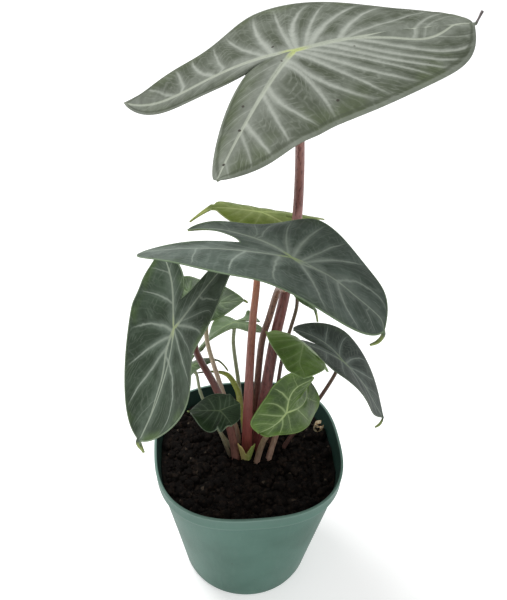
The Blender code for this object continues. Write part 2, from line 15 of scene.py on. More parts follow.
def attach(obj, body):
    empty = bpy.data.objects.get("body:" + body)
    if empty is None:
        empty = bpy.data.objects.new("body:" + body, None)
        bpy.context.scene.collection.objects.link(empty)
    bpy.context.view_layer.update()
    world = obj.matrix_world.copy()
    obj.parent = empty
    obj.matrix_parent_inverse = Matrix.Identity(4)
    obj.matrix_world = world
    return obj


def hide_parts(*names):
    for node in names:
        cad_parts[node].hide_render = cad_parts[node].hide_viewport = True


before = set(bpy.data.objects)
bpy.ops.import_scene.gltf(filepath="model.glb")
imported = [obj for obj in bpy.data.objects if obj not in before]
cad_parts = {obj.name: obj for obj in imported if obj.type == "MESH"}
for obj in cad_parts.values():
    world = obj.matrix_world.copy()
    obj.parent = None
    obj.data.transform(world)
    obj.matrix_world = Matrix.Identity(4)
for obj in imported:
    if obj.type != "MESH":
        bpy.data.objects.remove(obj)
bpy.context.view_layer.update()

MM = 0.001
BODY = "root"
SHARP_EDGE = math.radians(60)


# Node helpers

def tone(colour):
    """A colour as it looks on a screen, from 0 to 255, as linear values with full alpha."""
    values = [part / 255 for part in colour]
    return (*(v / 12.92 if v <= 0.04045 else ((v + 0.055) / 1.055) ** 2.4 for v in values), 1.0)


class Graph:
    """A node tree with short ways to add to it."""

    def __init__(self, tree):
        self.tree = tree
        self.places = {}

    def feed(self, sockets, values):
        """Give sockets values or links. A list is linked part by part."""
        for key, value in dict(values).items():
            for part in value if isinstance(value, list) else [value]:
                if isinstance(part, bpy.types.NodeSocket):
                    self.tree.links.new(part, sockets[key])
                else:
                    sockets[key].default_value = part

    def add(self, kind, values=(), **settings):
        """Add a node with its options and inputs, and give its outputs."""
        made = self.tree.nodes.new(kind)
        for name, value in settings.items():
            setattr(made, name, value)
        self.feed(made.inputs, values)
        return made.outputs

    def calc(self, operation, first, second=0.0, third=0.0):
        """One sum on numbers."""
        return self.add("ShaderNodeMath", {0: first, 1: second, 2: third}, operation=operation)[0]

    def times(self, first, second):
        """A product."""
        return self.calc("MULTIPLY", first, second)

    def scaled(self, value, scale, shift):
        """A number times a scale, plus a shift."""
        return self.calc("MULTIPLY_ADD", value, scale, shift)

    def fade(self, value, low, high):
        """0 at low and 1 at high, with a smooth step between. low may be the greater."""
        values = {"Value": value, "From Min": low, "From Max": high}
        return self.add("ShaderNodeMapRange", values, interpolation_type="SMOOTHSTEP")["Result"]

    def mix(self, share, first, second, blend="MIX"):
        """Two colours mixed. Those given as numbers are screen values."""
        first, second = (part if isinstance(part, bpy.types.NodeSocket) else tone(part)
                         for part in (first, second))
        values = {"Factor": share, 6: first, 7: second}
        return self.add("ShaderNodeMix", values, data_type="RGBA", blend_type=blend)[2]

    def layers(self, colour, *layers):
        """A colour with others over it, each with its mask and the share of it that shows."""
        for mask, share, over in layers:
            colour = self.mix(self.times(mask, share), colour, over)
        return colour

    def kept(self, name):
        """A number kept on the mesh."""
        return self.add("ShaderNodeAttribute", attribute_name=name)["Fac"]

    def place(self, upright=1.0):
        """Object coordinates in millimetres, with heights scaled so that patterns stretch upwards."""
        if upright not in self.places:
            values = {"Vector": self.add("ShaderNodeTexCoord")["Object"],
                      "Scale": (1000, 1000, 1000 * upright)}
            self.places[upright] = self.add("ShaderNodeMapping", values, vector_type="POINT")["Vector"]
        return self.places[upright]

    def cloud(self, size, detail=3.0, roughness=0.55, upright=1.0):
        """Soft noise whose patches are about size across."""
        values = {"Vector": self.place(upright), "Scale": 1 / size, "Detail": detail, "Roughness": roughness}
        return self.add("ShaderNodeTexNoise", values)["Fac"]

    def cells(self, scale):
        """Scattered cells, as colours and distances."""
        return self.add("ShaderNodeTexVoronoi", {"Vector": self.place(), "Scale": scale})

    def part(self, vector, axis):
        """One coordinate of a vector."""
        return self.add("ShaderNodeSeparateXYZ", {"Vector": vector})[axis]

    def bump(self, height, distance):
        """A normal from a height in 0 to 1 that stands for a distance in millimetres."""
        values = {"Height": height, "Distance": distance * MM, "Strength": 1.0}
        return self.add("ShaderNodeBump", values)["Normal"]


class Skin(Graph):
    """A material and its node tree."""

    def __init__(self, name):
        self.material = bpy.data.materials.new(name)
        self.material.use_nodes = True
        super().__init__(self.material.node_tree)

    def shade(self, values):
        """Give the surface values and links, and give the material."""
        self.feed(self.tree.nodes["Principled BSDF"].inputs, values)
        return self.material

    def dress(self, colour, roughness, normal, shine=0.5):
        """Give the skin what every skin has, and give its material."""
        return self.shade({"Base Color": colour, "Roughness": roughness, "Normal": normal,
                           "Specular IOR Level": shine})


# A group's sockets, by the kind of value that each starts with.
SOCKETS = {float: "NodeSocketFloat", int: "NodeSocketInt", type(None): "NodeSocketGeometry"}


def new_group(name, kind, given, results):
    """A node group's graph, its named inputs, and the sockets of its results."""
    tree = bpy.data.node_groups.new(name, kind)
    for way, sockets in (("INPUT", given), ("OUTPUT", results)):
        for label, value in sockets.items():
            made = tree.interface.new_socket(label, in_out=way, socket_type=SOCKETS[type(value)])
            if value is not None:
                made.default_value = value
    graph = Graph(tree)
    return graph, graph.add("NodeGroupInput"), tree.nodes.new("NodeGroupOutput").inputs


# Mesh helpers

def new_object(name, data):
    """Link data to the scene as an object at the origin."""
    item = bpy.data.objects.new(name, data)
    bpy.context.scene.collection.objects.link(item)
    return item


def mesh_object(name, points, faces, fields, slots, face_slots=None):
    """An object from points in millimetres, with numbers kept on its points and a material for each face."""
    data = bpy.data.meshes.new(name)
    data.from_pydata([tuple(point) for point in np.asarray(points) * MM], [], faces)
    for label, values in fields.items():
        layer = data.attributes.new(label, "FLOAT", "POINT")
        layer.data.foreach_set("value", np.asarray(values, np.float32))
    for surface in slots:
        data.materials.append(surface)
    if face_slots is not None:
        data.polygons.foreach_set("material_index", face_slots)
    data.shade_smooth()
    data.update()
    return new_object(name, data)


def net_faces(rows, columns, round_rows=False, round_columns=False):
    """The faces of a net of points, which may close on itself across its rows or its columns."""
    row, column = np.indices((rows - (not round_rows), columns - (not round_columns))).reshape(2, -1)
    ahead, beside = (row + 1) % rows * columns, (column + 1) % columns
    row = row * columns
    return np.stack([row + column, ahead + column, ahead + beside, row + beside], 1)


def plain_mesh(item):
    """Turn an object with its modifiers into a plain mesh under the same name."""
    graph = bpy.context.evaluated_depsgraph_get()
    data = bpy.data.meshes.new_from_object(item.evaluated_get(graph))
    item.modifiers.clear()
    item.data = data


def thick_sheet(name, rows, wall, offset, surface):
    """A net of points thickened to a wall, smooth all over."""
    rows = np.array(rows)
    item = mesh_object(name, rows.reshape(-1, 3), net_faces(*rows.shape[:2]).tolist(), {}, [surface])
    thick = item.modifiers.new("wall", "SOLIDIFY")
    thick.thickness = wall * MM
    thick.offset = offset
    smooth = item.modifiers.new("smooth", "SUBSURF")
    smooth.levels = smooth.render_levels = 2
    return item


def settle(item, name):
    """Let a finished piece ride on the plant's body and stand for its CAD node."""
    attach(item, BODY)
    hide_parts(name)


# Leaf finishes

def leaf_marks_group():
    """Where a blade's ribs, veins, ladder veins and margin lie, from the numbers kept on its mesh."""
    names = ("Rib", "Vein", "Halo", "Hollow", "Ladder", "Margin", "Seam", "Heart", "Rim")
    graph, given, result = new_group(
        "leaf_marks", "ShaderNodeTree", {"Vein Width": 0.5, "Halo Width": 2.0, "Ladder Spacing": 2.4},
        dict.fromkeys(names, 0.0))
    times, scaled, fade, calc, cloud = graph.times, graph.scaled, graph.fade, graph.calc, graph.cloud
    reach, bold, run, edge, heart = map(graph.kept, ("reach", "bold", "run", "edge", "heart"))

    # Side veins, which waver a little, thin out towards the margin and end short of it.
    lateral = calc("ADD", graph.kept("vein"), scaled(cloud(6.0), 0.12, -0.06))
    cell = calc("PINGPONG", lateral, 0.5)
    near = times(cell, graph.kept("pitch"))
    slim = scaled(reach, -0.6, 1.0)
    width = times(times(given["Vein Width"], bold), slim)
    line = times(fade(calc("DIVIDE", near, width), 2.2, 0.0), fade(reach, 1.0, 0.68))

    # The pale haze along ribs and veins, strongest about the junction.
    beside_vein = times(fade(calc("DIVIDE", near, times(given["Halo Width"], slim)), 1.7, 0.0),
                        times(bold, fade(reach, 1.2, 0.1)))
    beside_rib = times(fade(calc("DIVIDE", run, given["Halo Width"]), 2.4, 0.2), 0.8)
    near_heart = scaled(fade(heart, 38.0, 8.0), 0.5, 0.78)
    halo = times(calc("MAXIMUM", beside_rib, beside_vein), near_heart)

    # Darker middles between veins, and the fine ladder veins that cross them.
    hollow = times(fade(cell, 0.1, 0.42), fade(cloud(9.0), 0.4, 0.62))
    step = scaled(cloud(4.5), 3.0, scaled(calc("MINIMUM", near, 7.0), -0.8, run))
    step = calc("PINGPONG", calc("DIVIDE", step, given["Ladder Spacing"]), 0.5)
    ladder = times(fade(step, 0.24, 0.02), fade(cloud(8.0, 2.0), 0.42, 0.6))
    stripe = fade(calc("PINGPONG", scaled(lateral, 4.0, cloud(5.0)), 0.5), 0.2, 0.03)

    inside = calc("ABSOLUTE", calc("SUBTRACT", edge, 1.4))
    graph.feed(result, {
        "Rib": fade(graph.kept("rib"), 1.25, 0.5),
        "Vein": times(line, calc("MINIMUM", bold, 1.0)),
        "Halo": times(halo, scaled(cloud(4.0), 1.0, 0.5)),
        "Hollow": times(hollow, fade(near, 0.8, 3.0)),
        "Ladder": calc("MAXIMUM", ladder, times(stripe, 0.5)),
        "Margin": fade(edge, 1.05, 0.7),
        "Seam": fade(inside, 0.5, 0.1),
        "Heart": fade(heart, 8.0, 1.0),
        "Rim": fade(edge, 9.0, 1.0),
    })
    return graph.tree


@dataclass
class Look:
    """The colours of a kind of blade, as they look on a screen, and how much of each mark shows."""
    lamina: tuple
    shade: tuple
    halo: tuple
    vein: tuple
    rib: tuple
    margin: tuple
    tint: tuple
    heart: tuple
    under: tuple
    veins: float = 0.8
    glow: float = 0.7
    hollow: float = 0.6
    ladder: float = 0.2
    tinted: float = 0.3
    seam: float = 0.3
    gloss: float = 0.58
    shine: float = 0.2
    halo_width: float = 1.8
    ladder_spacing: float = 2.4
    patch: float = 14.0
    drip: tuple = (138, 152, 92)
    specks: float = 0.0


LOOKS = {
    "silver": Look((97, 103, 91), (68, 75, 59), (129, 134, 125), (159, 164, 154), (160, 166, 151),
                   (118, 124, 113), (78, 90, 56), (168, 178, 116), (120, 134, 100), veins=0.75, glow=0.85,
                   hollow=0.8, halo_width=3.2, ladder_spacing=3.2, seam=0.6, tinted=0.5,
                   drip=(112, 104, 104), specks=1.0),
    "slate": Look((89, 101, 93), (63, 75, 66), (116, 126, 118), (142, 152, 142), (142, 152, 139),
                  (112, 132, 100), (72, 90, 58), (150, 165, 120), (104, 116, 74), veins=0.85, glow=0.85,
                  halo_width=2.2),
    "dusk": Look((57, 67, 60), (42, 52, 45), (88, 98, 92), (120, 130, 120), (118, 128, 116), (92, 106, 86),
                 (66, 84, 50), (120, 134, 106), (92, 104, 66), glow=0.75, halo_width=2.0),
    "fern": Look((66, 80, 65), (47, 60, 45), (97, 109, 97), (140, 150, 137), (146, 156, 140),
                 (122, 138, 112), (80, 102, 54), (158, 170, 128), (110, 124, 82), veins=0.9, glow=0.85,
                 tinted=0.6, halo_width=2.3, shine=0.14, ladder=0.13),
    "fresh": Look((72, 98, 38), (46, 70, 22), (90, 114, 58), (144, 162, 112), (148, 166, 116),
                  (106, 132, 64), (82, 114, 30), (154, 174, 112), (110, 134, 84), gloss=0.46, shine=0.3,
                  glow=0.55, halo_width=1.3, ladder=0.12, tinted=0.7),
    "leafy": Look((104, 136, 60), (76, 106, 38), (110, 140, 74), (126, 150, 94), (128, 152, 94),
                  (118, 144, 84), (104, 140, 50), (136, 158, 104), (110, 134, 84), veins=0.75, glow=0.6,
                  gloss=0.36, shine=0.4),
    "young": Look((111, 123, 65), (88, 104, 41), (128, 140, 86), (146, 156, 104), (144, 152, 98),
                  (154, 164, 112), (118, 136, 44), (150, 164, 100), (136, 150, 90), veins=0.3, glow=0.35,
                  ladder=0.08, hollow=0.3, gloss=0.5, shine=0.3, tinted=0.5,
                  drip=(150, 160, 92), patch=7.0),
    "deep": Look((38, 58, 36), (28, 44, 26), (54, 72, 50), (88, 104, 84), (88, 104, 82), (98, 114, 94),
                 (54, 76, 42), (90, 106, 76), (96, 110, 78), veins=0.65, glow=0.6, gloss=0.46, shine=0.15),
    "forest": Look((66, 90, 50), (46, 68, 34), (82, 104, 66), (108, 128, 92), (112, 130, 92),
                   (100, 122, 78), (76, 106, 42), (114, 134, 84), (100, 122, 76), veins=0.6, gloss=0.42,
                   shine=0.3),
    "sage": Look((96, 116, 82), (76, 98, 60), (106, 126, 94), (126, 144, 110), (130, 146, 112),
                 (120, 140, 100), (92, 118, 62), (130, 148, 104), (118, 136, 96), veins=0.5, gloss=0.45,
                 shine=0.3),
}


def leaf_skin(kind, leaf, marks):
    """A blade's look, its new skin, the marks with its own widths, and the mask of its drip tip."""
    look = LOOKS[leaf.look]
    skin = Skin(f"{kind}_{leaf.number:02d}_{leaf.look}")
    widths = {"Vein Width": leaf.vein_width, "Halo Width": look.halo_width,
              "Ladder Spacing": look.ladder_spacing}
    found = skin.add("ShaderNodeGroup", widths, node_tree=marks)
    return look, skin, found, skin.fade(skin.kept("tail"), 0.0, 0.35)


def upper_surface(leaf, marks):
    """The upper face of a blade."""
    look, skin, found, drip = leaf_skin("blade", leaf, marks)
    mottle = skin.cloud(1.4, 5.0, 0.7)
    patches = skin.fade(skin.cloud(look.patch, 4.0), 0.36, 0.66)
    tinting = skin.times(found["Rim"], skin.fade(skin.cloud(19.0, 2.0), 0.45, 0.62))
    specks = skin.fade(skin.cells(0.08)["Distance"], 0.07, 0.035)
    colour = skin.layers(
        skin.mix(patches, look.shade, look.lamina),
        (found["Hollow"], look.hollow, look.shade), (tinting, look.tinted, look.tint),
        (found["Ladder"], look.ladder, look.vein), (found["Halo"], look.glow, look.halo),
        (found["Vein"], look.veins, look.vein), (found["Rib"], 0.9, look.rib),
        (found["Heart"], found["Rib"], look.heart), (found["Seam"], look.seam, look.shade),
        (found["Margin"], 0.7, look.margin), (specks, look.specks, (48, 44, 36)), (drip, 1.0, look.drip))
    half_mottle = skin.times(mottle, 0.5)
    grey = skin.scaled(skin.cloud(4.0), 0.5, half_mottle)
    height = skin.scaled(found["Ladder"], -0.5, half_mottle)
    colour = skin.mix(0.45, colour, grey, "SOFT_LIGHT")
    rough = skin.scaled(mottle, 0.16, look.gloss - 0.06)
    return skin.dress(colour, rough, skin.bump(height, 0.12), look.shine)


def lower_surface(leaf, marks):
    """The matt, paler lower face of a blade."""
    look, skin, found, drip = leaf_skin("underside", leaf, marks)
    dark = [0.78 * part for part in look.under]
    pale = [min(255, 1.18 * part + 12) for part in look.under]
    colour = skin.layers(
        skin.mix(skin.cloud(9.0, 4.0), dark, look.under), (found["Ladder"], 0.25, pale),
        (found["Vein"], 0.6, pale), (found["Rib"], 1.0, pale), (drip, 1.0, look.drip))
    return skin.dress(colour, 0.6, skin.bump(skin.times(found["Ladder"], 0.6), 0.15))


# Blades: the same surface as the solid's, with finer steps, veins and ribs

BLADE_THICKNESS = 0.8
EDGE_THICKNESS = 0.4
TAIL_END = 0.25
TAIL_STEPS = 12
TAIL_CLEARANCE = 40
CREASE_SOFTNESS = 0.12
ARCH_SHARE = 0.4
SIDE_BLEND = 4
MERGE_DISTANCE = 0.02
SIDES = {1: 0, -1: 1}
SIDE_ON = 93
APEX_LEAN = 38
LOBE_SQUARE = (72, 90)
OUTER_PULL = (0.35, 0.9)
INNER_PULL = (0.35, 0.8)
MARGIN_WAVES = 1.1
EDGE_EASE = 0.14
EASE_STEPS = 3
RIB_STEPS = 90
RIB_TAPER = 0.72
NOTCH_VEINS = 5
NOTCH_LEAN = 0.12
NOTCH_BOLDNESS = 0.4
PAST_THE_END = 1.001
WIDEST_PITCH = 30.0
FEWEST_STEPS = {"along": 10, "outward": 8, "inward": 5}
NOTCH_STEP = 1.6
KEPT_FIELDS = ("rib", "run", "vein", "pitch", "reach", "bold", "edge", "heart", "tail")

# Relief: the cells between veins bulge about a middle level, over a slow ripple, with a groove along
# each rib above and a ridge below. Groove and ridge are in shares of the rib's width.
CELL_ROUNDNESS = 0.8
CELL_LEVEL = 0.3
FULL_PITCH = 8
CLEAR_OF_RIB = (0.5, 4)
RIPPLE = 0.3
RIPPLE_SCALE = 0.16
GROOVE = 0.25
RIDGE = 1.3
RIDGE_REACH = 1.1
RIDGE_TAPER = 0.8
VEIN_RIDGE = 0.3
VEIN_RIDGE_REACH = 0.6


@dataclass
class Leaf:
    """One blade, described from its junction, where the stalk meets it and its main veins part.

    Pairs hold the left side and then the right side, seen from above with the apex ahead.
    Each vein has four numbers: the places along the blade where it leaves its rib, is half way to
    the margin and meets it, and how bold it is. bow is where the midrib lies across the blade,
    at places along it. flare widens the middle of the drip tip.
    """
    number: int
    look: str
    at: tuple
    heading: float
    nod: float
    roll: float
    length: float
    lobes: tuple
    spread: tuple
    shoulder: tuple
    outer: tuple
    inner: tuple
    notch: float
    sag: tuple
    taper: tuple = (1.8, 1.8)
    fold: float = -0.1
    arch: float = 0.0
    sweep: float = 0.0
    hook: tuple = (0, 0)
    rim: float = 0.1
    tip: float = 0.5
    wave: tuple = (0, 0)
    phase: tuple = (0, 0)
    tail: tuple = ((0, 0, 0), (1, 0, 0))
    flare: float = 0.0
    veins: tuple = ()
    rib_shift: tuple = (0, 0)
    bow: tuple = ((0, 0), (1, 0))
    rib_width: float = 0.6
    vein_width: float = 0.35
    margin: tuple = (0.7, 0.7)
    bulge: float = 0.3
    step: float = 0.8


PLAIN_VEINS = ((-0.75, -0.8, -0.84, 0.7), (-0.45, -0.5, -0.52, 0.9), (-0.2, -0.22, -0.2, 0.9),
               (0.0, 0.07, 0.16, 1), (0.16, 0.3, 0.42, 1), (0.38, 0.54, 0.68, 0.9), (0.62, 0.76, 0.88, 0.7))

LEAVES = [
    Leaf(1, "silver", at=(15, 5, 315), heading=19.5, nod=8.5, roll=8.5, length=82, lobes=(90, 68),
         spread=(12, 39), shoulder=(48, 43), taper=(3, 2.3), outer=(4, 19), inner=(1.5, 8), notch=21.5,
         sag=(0.09, 0.7, 0.38), fold=-0.34, arch=-0.12, sweep=-0.02, hook=(31, 3.5), rim=2.3, tip=0.8,
         wave=(1.7, -1.8), phase=(30, 105), tail=((1, 1, 1), (3, 2.7, 4.5)),
         veins=(((-0.56, -0.72, -0.88, 0.8), (-0.53, -0.56, -0.61, 1), (-0.335, -0.45, -0.46, 1),
                 (-0.32, -0.33, -0.29, 0.8), (-0.12, -0.2, -0.19, 0.9), (-0.1, -0.08, 0, 1.2),
                 (-0.01, 0.04, 0.09, 0.9), (0.01, 0.1, 0.25, 1.2), (0.06, 0.19, 0.32, 0.9),
                 (0.08, 0.285, 0.47, 1.3), (0.24, 0.4, 0.57, 1.1), (0.27, 0.6, 0.8, 0.8),
                 (0.57, 0.74, 0.87, 0.8), (0.62, 0.82, 0.94, 0.5)),
                ((-0.88, -0.95, -0.97, 0.5), (-0.68, -0.78, -0.88, 0.7), (-0.62, -0.66, -0.71, 1),
                 (-0.4, -0.46, -0.53, 0.9), (-0.34, -0.31, -0.11, 1.1), (-0.145, -0.01, 0, 1.1),
                 (-0.11, 0.04, 0.235, 1.2), (-0.03, 0.15, 0.265, 1), (0, 0.23, 0.42, 1.1),
                 (0.03, 0.33, 0.48, 0.9), (0.12, 0.39, 0.61, 1.1), (0.19, 0.48, 0.74, 1.1),
                 (0.3, 0.63, 0.88, 1.1), (0.69, 0.82, 0.96, 0.5))),
         rib_shift=(-0.4, 0),
         bow=((0, 0), (0.3, 0), (0.47, -0.12), (0.62, -0.3), (0.7, -0.3), (0.82, -0.16), (0.92, 0.1),
              (1, 0.2)),
         rib_width=1.4, vein_width=0.85, margin=(1.1, 2.2), bulge=1.0),
    Leaf(2, "slate", at=(17, -24, 234), heading=-27.5, nod=-3.2, roll=-9.4, length=48.2, lobes=(60.3, 69.9),
         spread=(38.1, 26.1), shoulder=(35.7, 33.2), taper=(2, 2.6), outer=(2.1, 18), inner=(1.1, 8.5),
         notch=25.5, sag=(0.36, 0.22, 0.26), fold=0.21, arch=0.07, sweep=-0.04, hook=(-26.5, -14.8),
         rim=-0.7, tip=1.1, wave=(3, 0.6), phase=(117, -22),
         tail=((-0.5, -1.5, -4), (-5.5, -2.4, -6)), flare=0.8,
         veins=(((-0.62, -0.72, -0.8, 0.4), (-0.32, -0.47, -0.55, 0.6), (-0.31, -0.4, -0.385, 0.8),
                 (-0.03, -0.21, -0.28, 0.8), (0.015, -0.005, 0.05, 1.2), (0.09, 0.17, 0.22, 0.9),
                 (0.1, 0.31, 0.4, 1.1), (0.47, 0.57, 0.95, 1)),
                ((-0.8, -0.82, -0.85, 0.3), (-0.6, -0.52, -0.42, 0.7), (-0.29, -0.26, -0.17, 0.9),
                 (-0.07, 0.01, 0.15, 1), (0.11, 0.33, 0.48, 1), (0.34, 0.46, 0.53, 0.5),
                 (0.47, 0.59, 0.74, 1), (0.76, 0.84, 0.88, 0.6))),
         rib_shift=(-0.5, 0),
         bow=((0, 0), (0.12, -0.06), (0.3, 0.01), (0.5, 0.06), (0.65, 0.1), (0.8, 0.32), (0.9, 0.6),
              (1, 0.7)),
         rib_width=0.85, vein_width=0.55, margin=(0.7, 0.9), bulge=0.7),
    Leaf(3, "young", at=(4, 38, 220.5), heading=177.5, nod=7, roll=-12, length=25, lobes=(36, 35.5),
         spread=(18, 18), shoulder=(9.5, 18.5), outer=(7.5, 5.5), inner=(6, 5), notch=22,
         sag=(-0.03, 0.07, 0.02), fold=-0.74, arch=0.09, sweep=0.09, tip=1.9,
         tail=((-6, -0.5, -3.5), (-11.8, -1.3, -8)), rib_width=0.5),
    Leaf(4, "fern", at=(-36.7, -18.4, 188), heading=-113.1, nod=-73.2, roll=30.3, length=61.4,
         lobes=(45.4, 39.2), spread=(42.4, 21.1), shoulder=(31.1, 29.1), taper=(2.2, 2.9), outer=(9.8, 8.3),
         inner=(6.1, 5.3), notch=15.3, sag=(-0.17, 0.6, 0.36), fold=0.14, arch=-0.1, sweep=-0.06,
         hook=(-26.4, 16.4), rim=-0.6, tip=2.2, wave=(2, -0.5), phase=(103, -158),
         tail=((0.8, -0.5, -3.5), (1.8, -1, -7.5)), flare=1.2,
         veins=(((-0.5, -0.55, -0.59, 0.8), (-0.15, -0.43, -0.46, 0.6), (-0.07, -0.24, -0.28, 1.2),
                 (-0.04, 0.02, 0.02, 0.7), (0, 0.165, 0.2, 1), (0.25, 0.46, 0.77, 1)),
                ((-0.67, -0.75, -0.8, 0.6), (-0.3, -0.34, -0.3, 0.9), (0.03, 0.06, 0.18, 1.2),
                 (0.08, 0.26, 0.43, 1.1), (0.18, 0.49, 0.72, 1.1), (0.62, 0.78, 0.9, 0.4))),
         rib_shift=(0, -0.15),
         bow=((0, 0), (0.12, -0.08), (0.22, -0.11), (0.4, -0.07), (0.65, -0.06), (0.8, -0.03), (1, -0.1)),
         rib_width=0.85, vein_width=0.5, bulge=0.5),
    Leaf(5, "dusk", at=(50, 8.3, 147.4), heading=-11, nod=-42.6, roll=-7.1, length=49.4, lobes=(31, 32.7),
         spread=(23.9, 18.1), shoulder=(22.3, 18), taper=(1.5, 1.6), outer=(9, 7.4), inner=(4, 5.5),
         notch=12, sag=(0.32, 0.35, 0.18), fold=0.29, sweep=0.22, hook=(-16, 0), rim=1.2, tip=1.1,
         wave=(0, 0.7), phase=(0, 7), tail=((-0.8, -1, -4), (-4, -1.3, -7)), flare=0.7,
         veins=(((-0.68, -0.74, -0.8, 0.4), (-0.44, -0.44, -0.44, 0.8), (-0.1, -0.11, 0.03, 0.9),
                 (0.04, 0.16, 0.33, 1), (0.1, 0.4, 0.5, 0.9), (0.4, 0.62, 0.8, 0.6)),
                ((-0.72, -0.75, -0.78, 0.5), (-0.4, -0.42, -0.45, 0.7), (-0.05, -0.03, 0, 0.8),
                 (0.1, 0.24, 0.38, 0.9), (0.3, 0.47, 0.64, 0.9), (0.55, 0.7, 0.86, 0.7))),
         bow=((0, 0), (0.35, -0.02), (0.57, -0.15), (0.8, -0.3), (1, -0.3)),
         rib_width=0.7, vein_width=0.4, bulge=0.45, step=0.7),
    Leaf(6, "leafy", at=(25.5, -15.8, 178.8), heading=128.2, nod=7.1, roll=25.7, length=19, lobes=(23, 17.1),
         spread=(21.7, 30.2), shoulder=(14.5, 17.3), taper=(1.5, 1.8), outer=(7.5, 9.2), inner=(8.2, 7),
         notch=11.5, sag=(0.35, -0.11, 0.2), fold=-0.43, arch=0.07, sweep=0.17, hook=(15.5, -2.2),
         rim=-1, wave=(-0.2, -0.5), phase=(20, 66), tail=((-0.4, 0.2, 0.1), (-0.8, 0.5, 0.2)),
         rib_shift=(0.35, 0), rib_width=0.5, bulge=0.6, step=0.5),
    Leaf(7, "fresh", at=(19.5, -23, 138.7), heading=-136.4, nod=-31.9, roll=-75.3, length=16.7,
         lobes=(23.1, 22), spread=(26, 30), shoulder=(17.4, 16.1), taper=(1.3, 2.9), outer=(25.1, 12.5),
         inner=(3, 3), notch=10.5, sag=(0.17, 0.5, -0.29), fold=-0.09, arch=0.03, sweep=-0.2,
         hook=(-14, -18), rim=-1.2, wave=(-2, -0.9), phase=(-107, 71),
         tail=((-0.2, 0, -0.2), (-0.5, 0, -0.5)), bulge=0.9,
         veins=(((-0.6, -0.64, -0.68, 0.5), (-0.25, -0.24, -0.22, 0.7), (-0.02, 0.16, 0.24, 0.6),
                 (0.22, 0.37, 0.48, 0.9), (0.55, 0.7, 0.85, 0.6)),
                ((-0.62, -0.66, -0.7, 0.5), (-0.25, -0.27, -0.17, 1), (0.03, 0.04, 0.26, 1),
                 (0.12, 0.34, 0.45, 0.9), (0.5, 0.64, 0.8, 0.6))),
         rib_shift=(0.25, 0.2), bow=((0, 0), (0.5, 0.06), (1, 0.1)), vein_width=0.4, step=0.5),
    Leaf(8, "deep", at=(-14.5, -24, 140), heading=173, nod=-4, roll=-1, length=16, lobes=(11, 12),
         spread=(42, 42), shoulder=(13, 13.5), taper=(1.6, 1.6), outer=(5.5, 5.5), inner=(4.5, 3),
         notch=10.5, sag=(0.14, 0.2, 0.2), fold=-0.05, sweep=-0.04, hook=(6, 0), wave=(-3, 0.8),
         phase=(-5, -35), tail=((-0.5, 0, 0), (-1.2, 0, 0)), rib_width=0.5, vein_width=0.3, margin=(0.5, 0.5),
         step=0.5),
    Leaf(9, "forest", at=(-25, 16, 178), heading=-13, nod=9, roll=24, length=21.5, lobes=(26.5, 25),
         spread=(33, 31), shoulder=(13, 11), taper=(1.5, 1.7), outer=(6.5, 6.5), inner=(4, 3.5),
         notch=8.5, sag=(0.01, 0.18, 0.19), arch=-0.04, sweep=0.13, wave=(0.7, -0.9), phase=(0, -20),
         tail=((1, 0, -0.5), (2, 0, -1.5)), step=0.6),
    Leaf(10, "sage", at=(-10.5, 30, 154.5), heading=-174.5, nod=-23, roll=11, length=30, lobes=(17.5, 14.5),
         spread=(20, 21), shoulder=(5.5, 8), outer=(5.5, 4), inner=(5.5, 1.5), notch=3,
         sag=(0.39, 0.38, 0.42), arch=0.05, sweep=0.04, hook=(14.5, -18), wave=(-0.2, 4.6),
         phase=(-40, -5), tail=((-1, 0, -0.5), (-1.5, 0, -1.5)), rib_width=0.5, step=0.6),
    Leaf(11, "forest", at=(-32.5, 20, 131), heading=31, nod=17, roll=-17, length=14.5, lobes=(12, 12),
         spread=(25, 25), shoulder=(9.5, 5), outer=(2.5, 2.5), inner=(1.5, 1.5), notch=4,
         sag=(0.33, 0.2, 0.2), arch=0.13, sweep=-0.06, tail=((3, 0, -2), (6, -0.8, -7)), rib_width=0.4,
         vein_width=0.25, margin=(0.4, 0.4), step=0.5),
    Leaf(12, "forest", at=(24.5, 5, 197.5), heading=-26, nod=-42, roll=-3, length=14, lobes=(8, 8),
         spread=(35, 35), shoulder=(4.5, 6.5), outer=(2.5, 2.5), inner=(1.5, 1.5), notch=3,
         sag=(0.19, 0.2, 0.2), fold=-0.2, arch=0.1, tip=1.2, wave=(1.4, -0.4),
         tail=((1, 0, -3), (1.5, -1, -6)), rib_width=0.4, vein_width=0.25, margin=(0.4, 0.4), step=0.5),
]


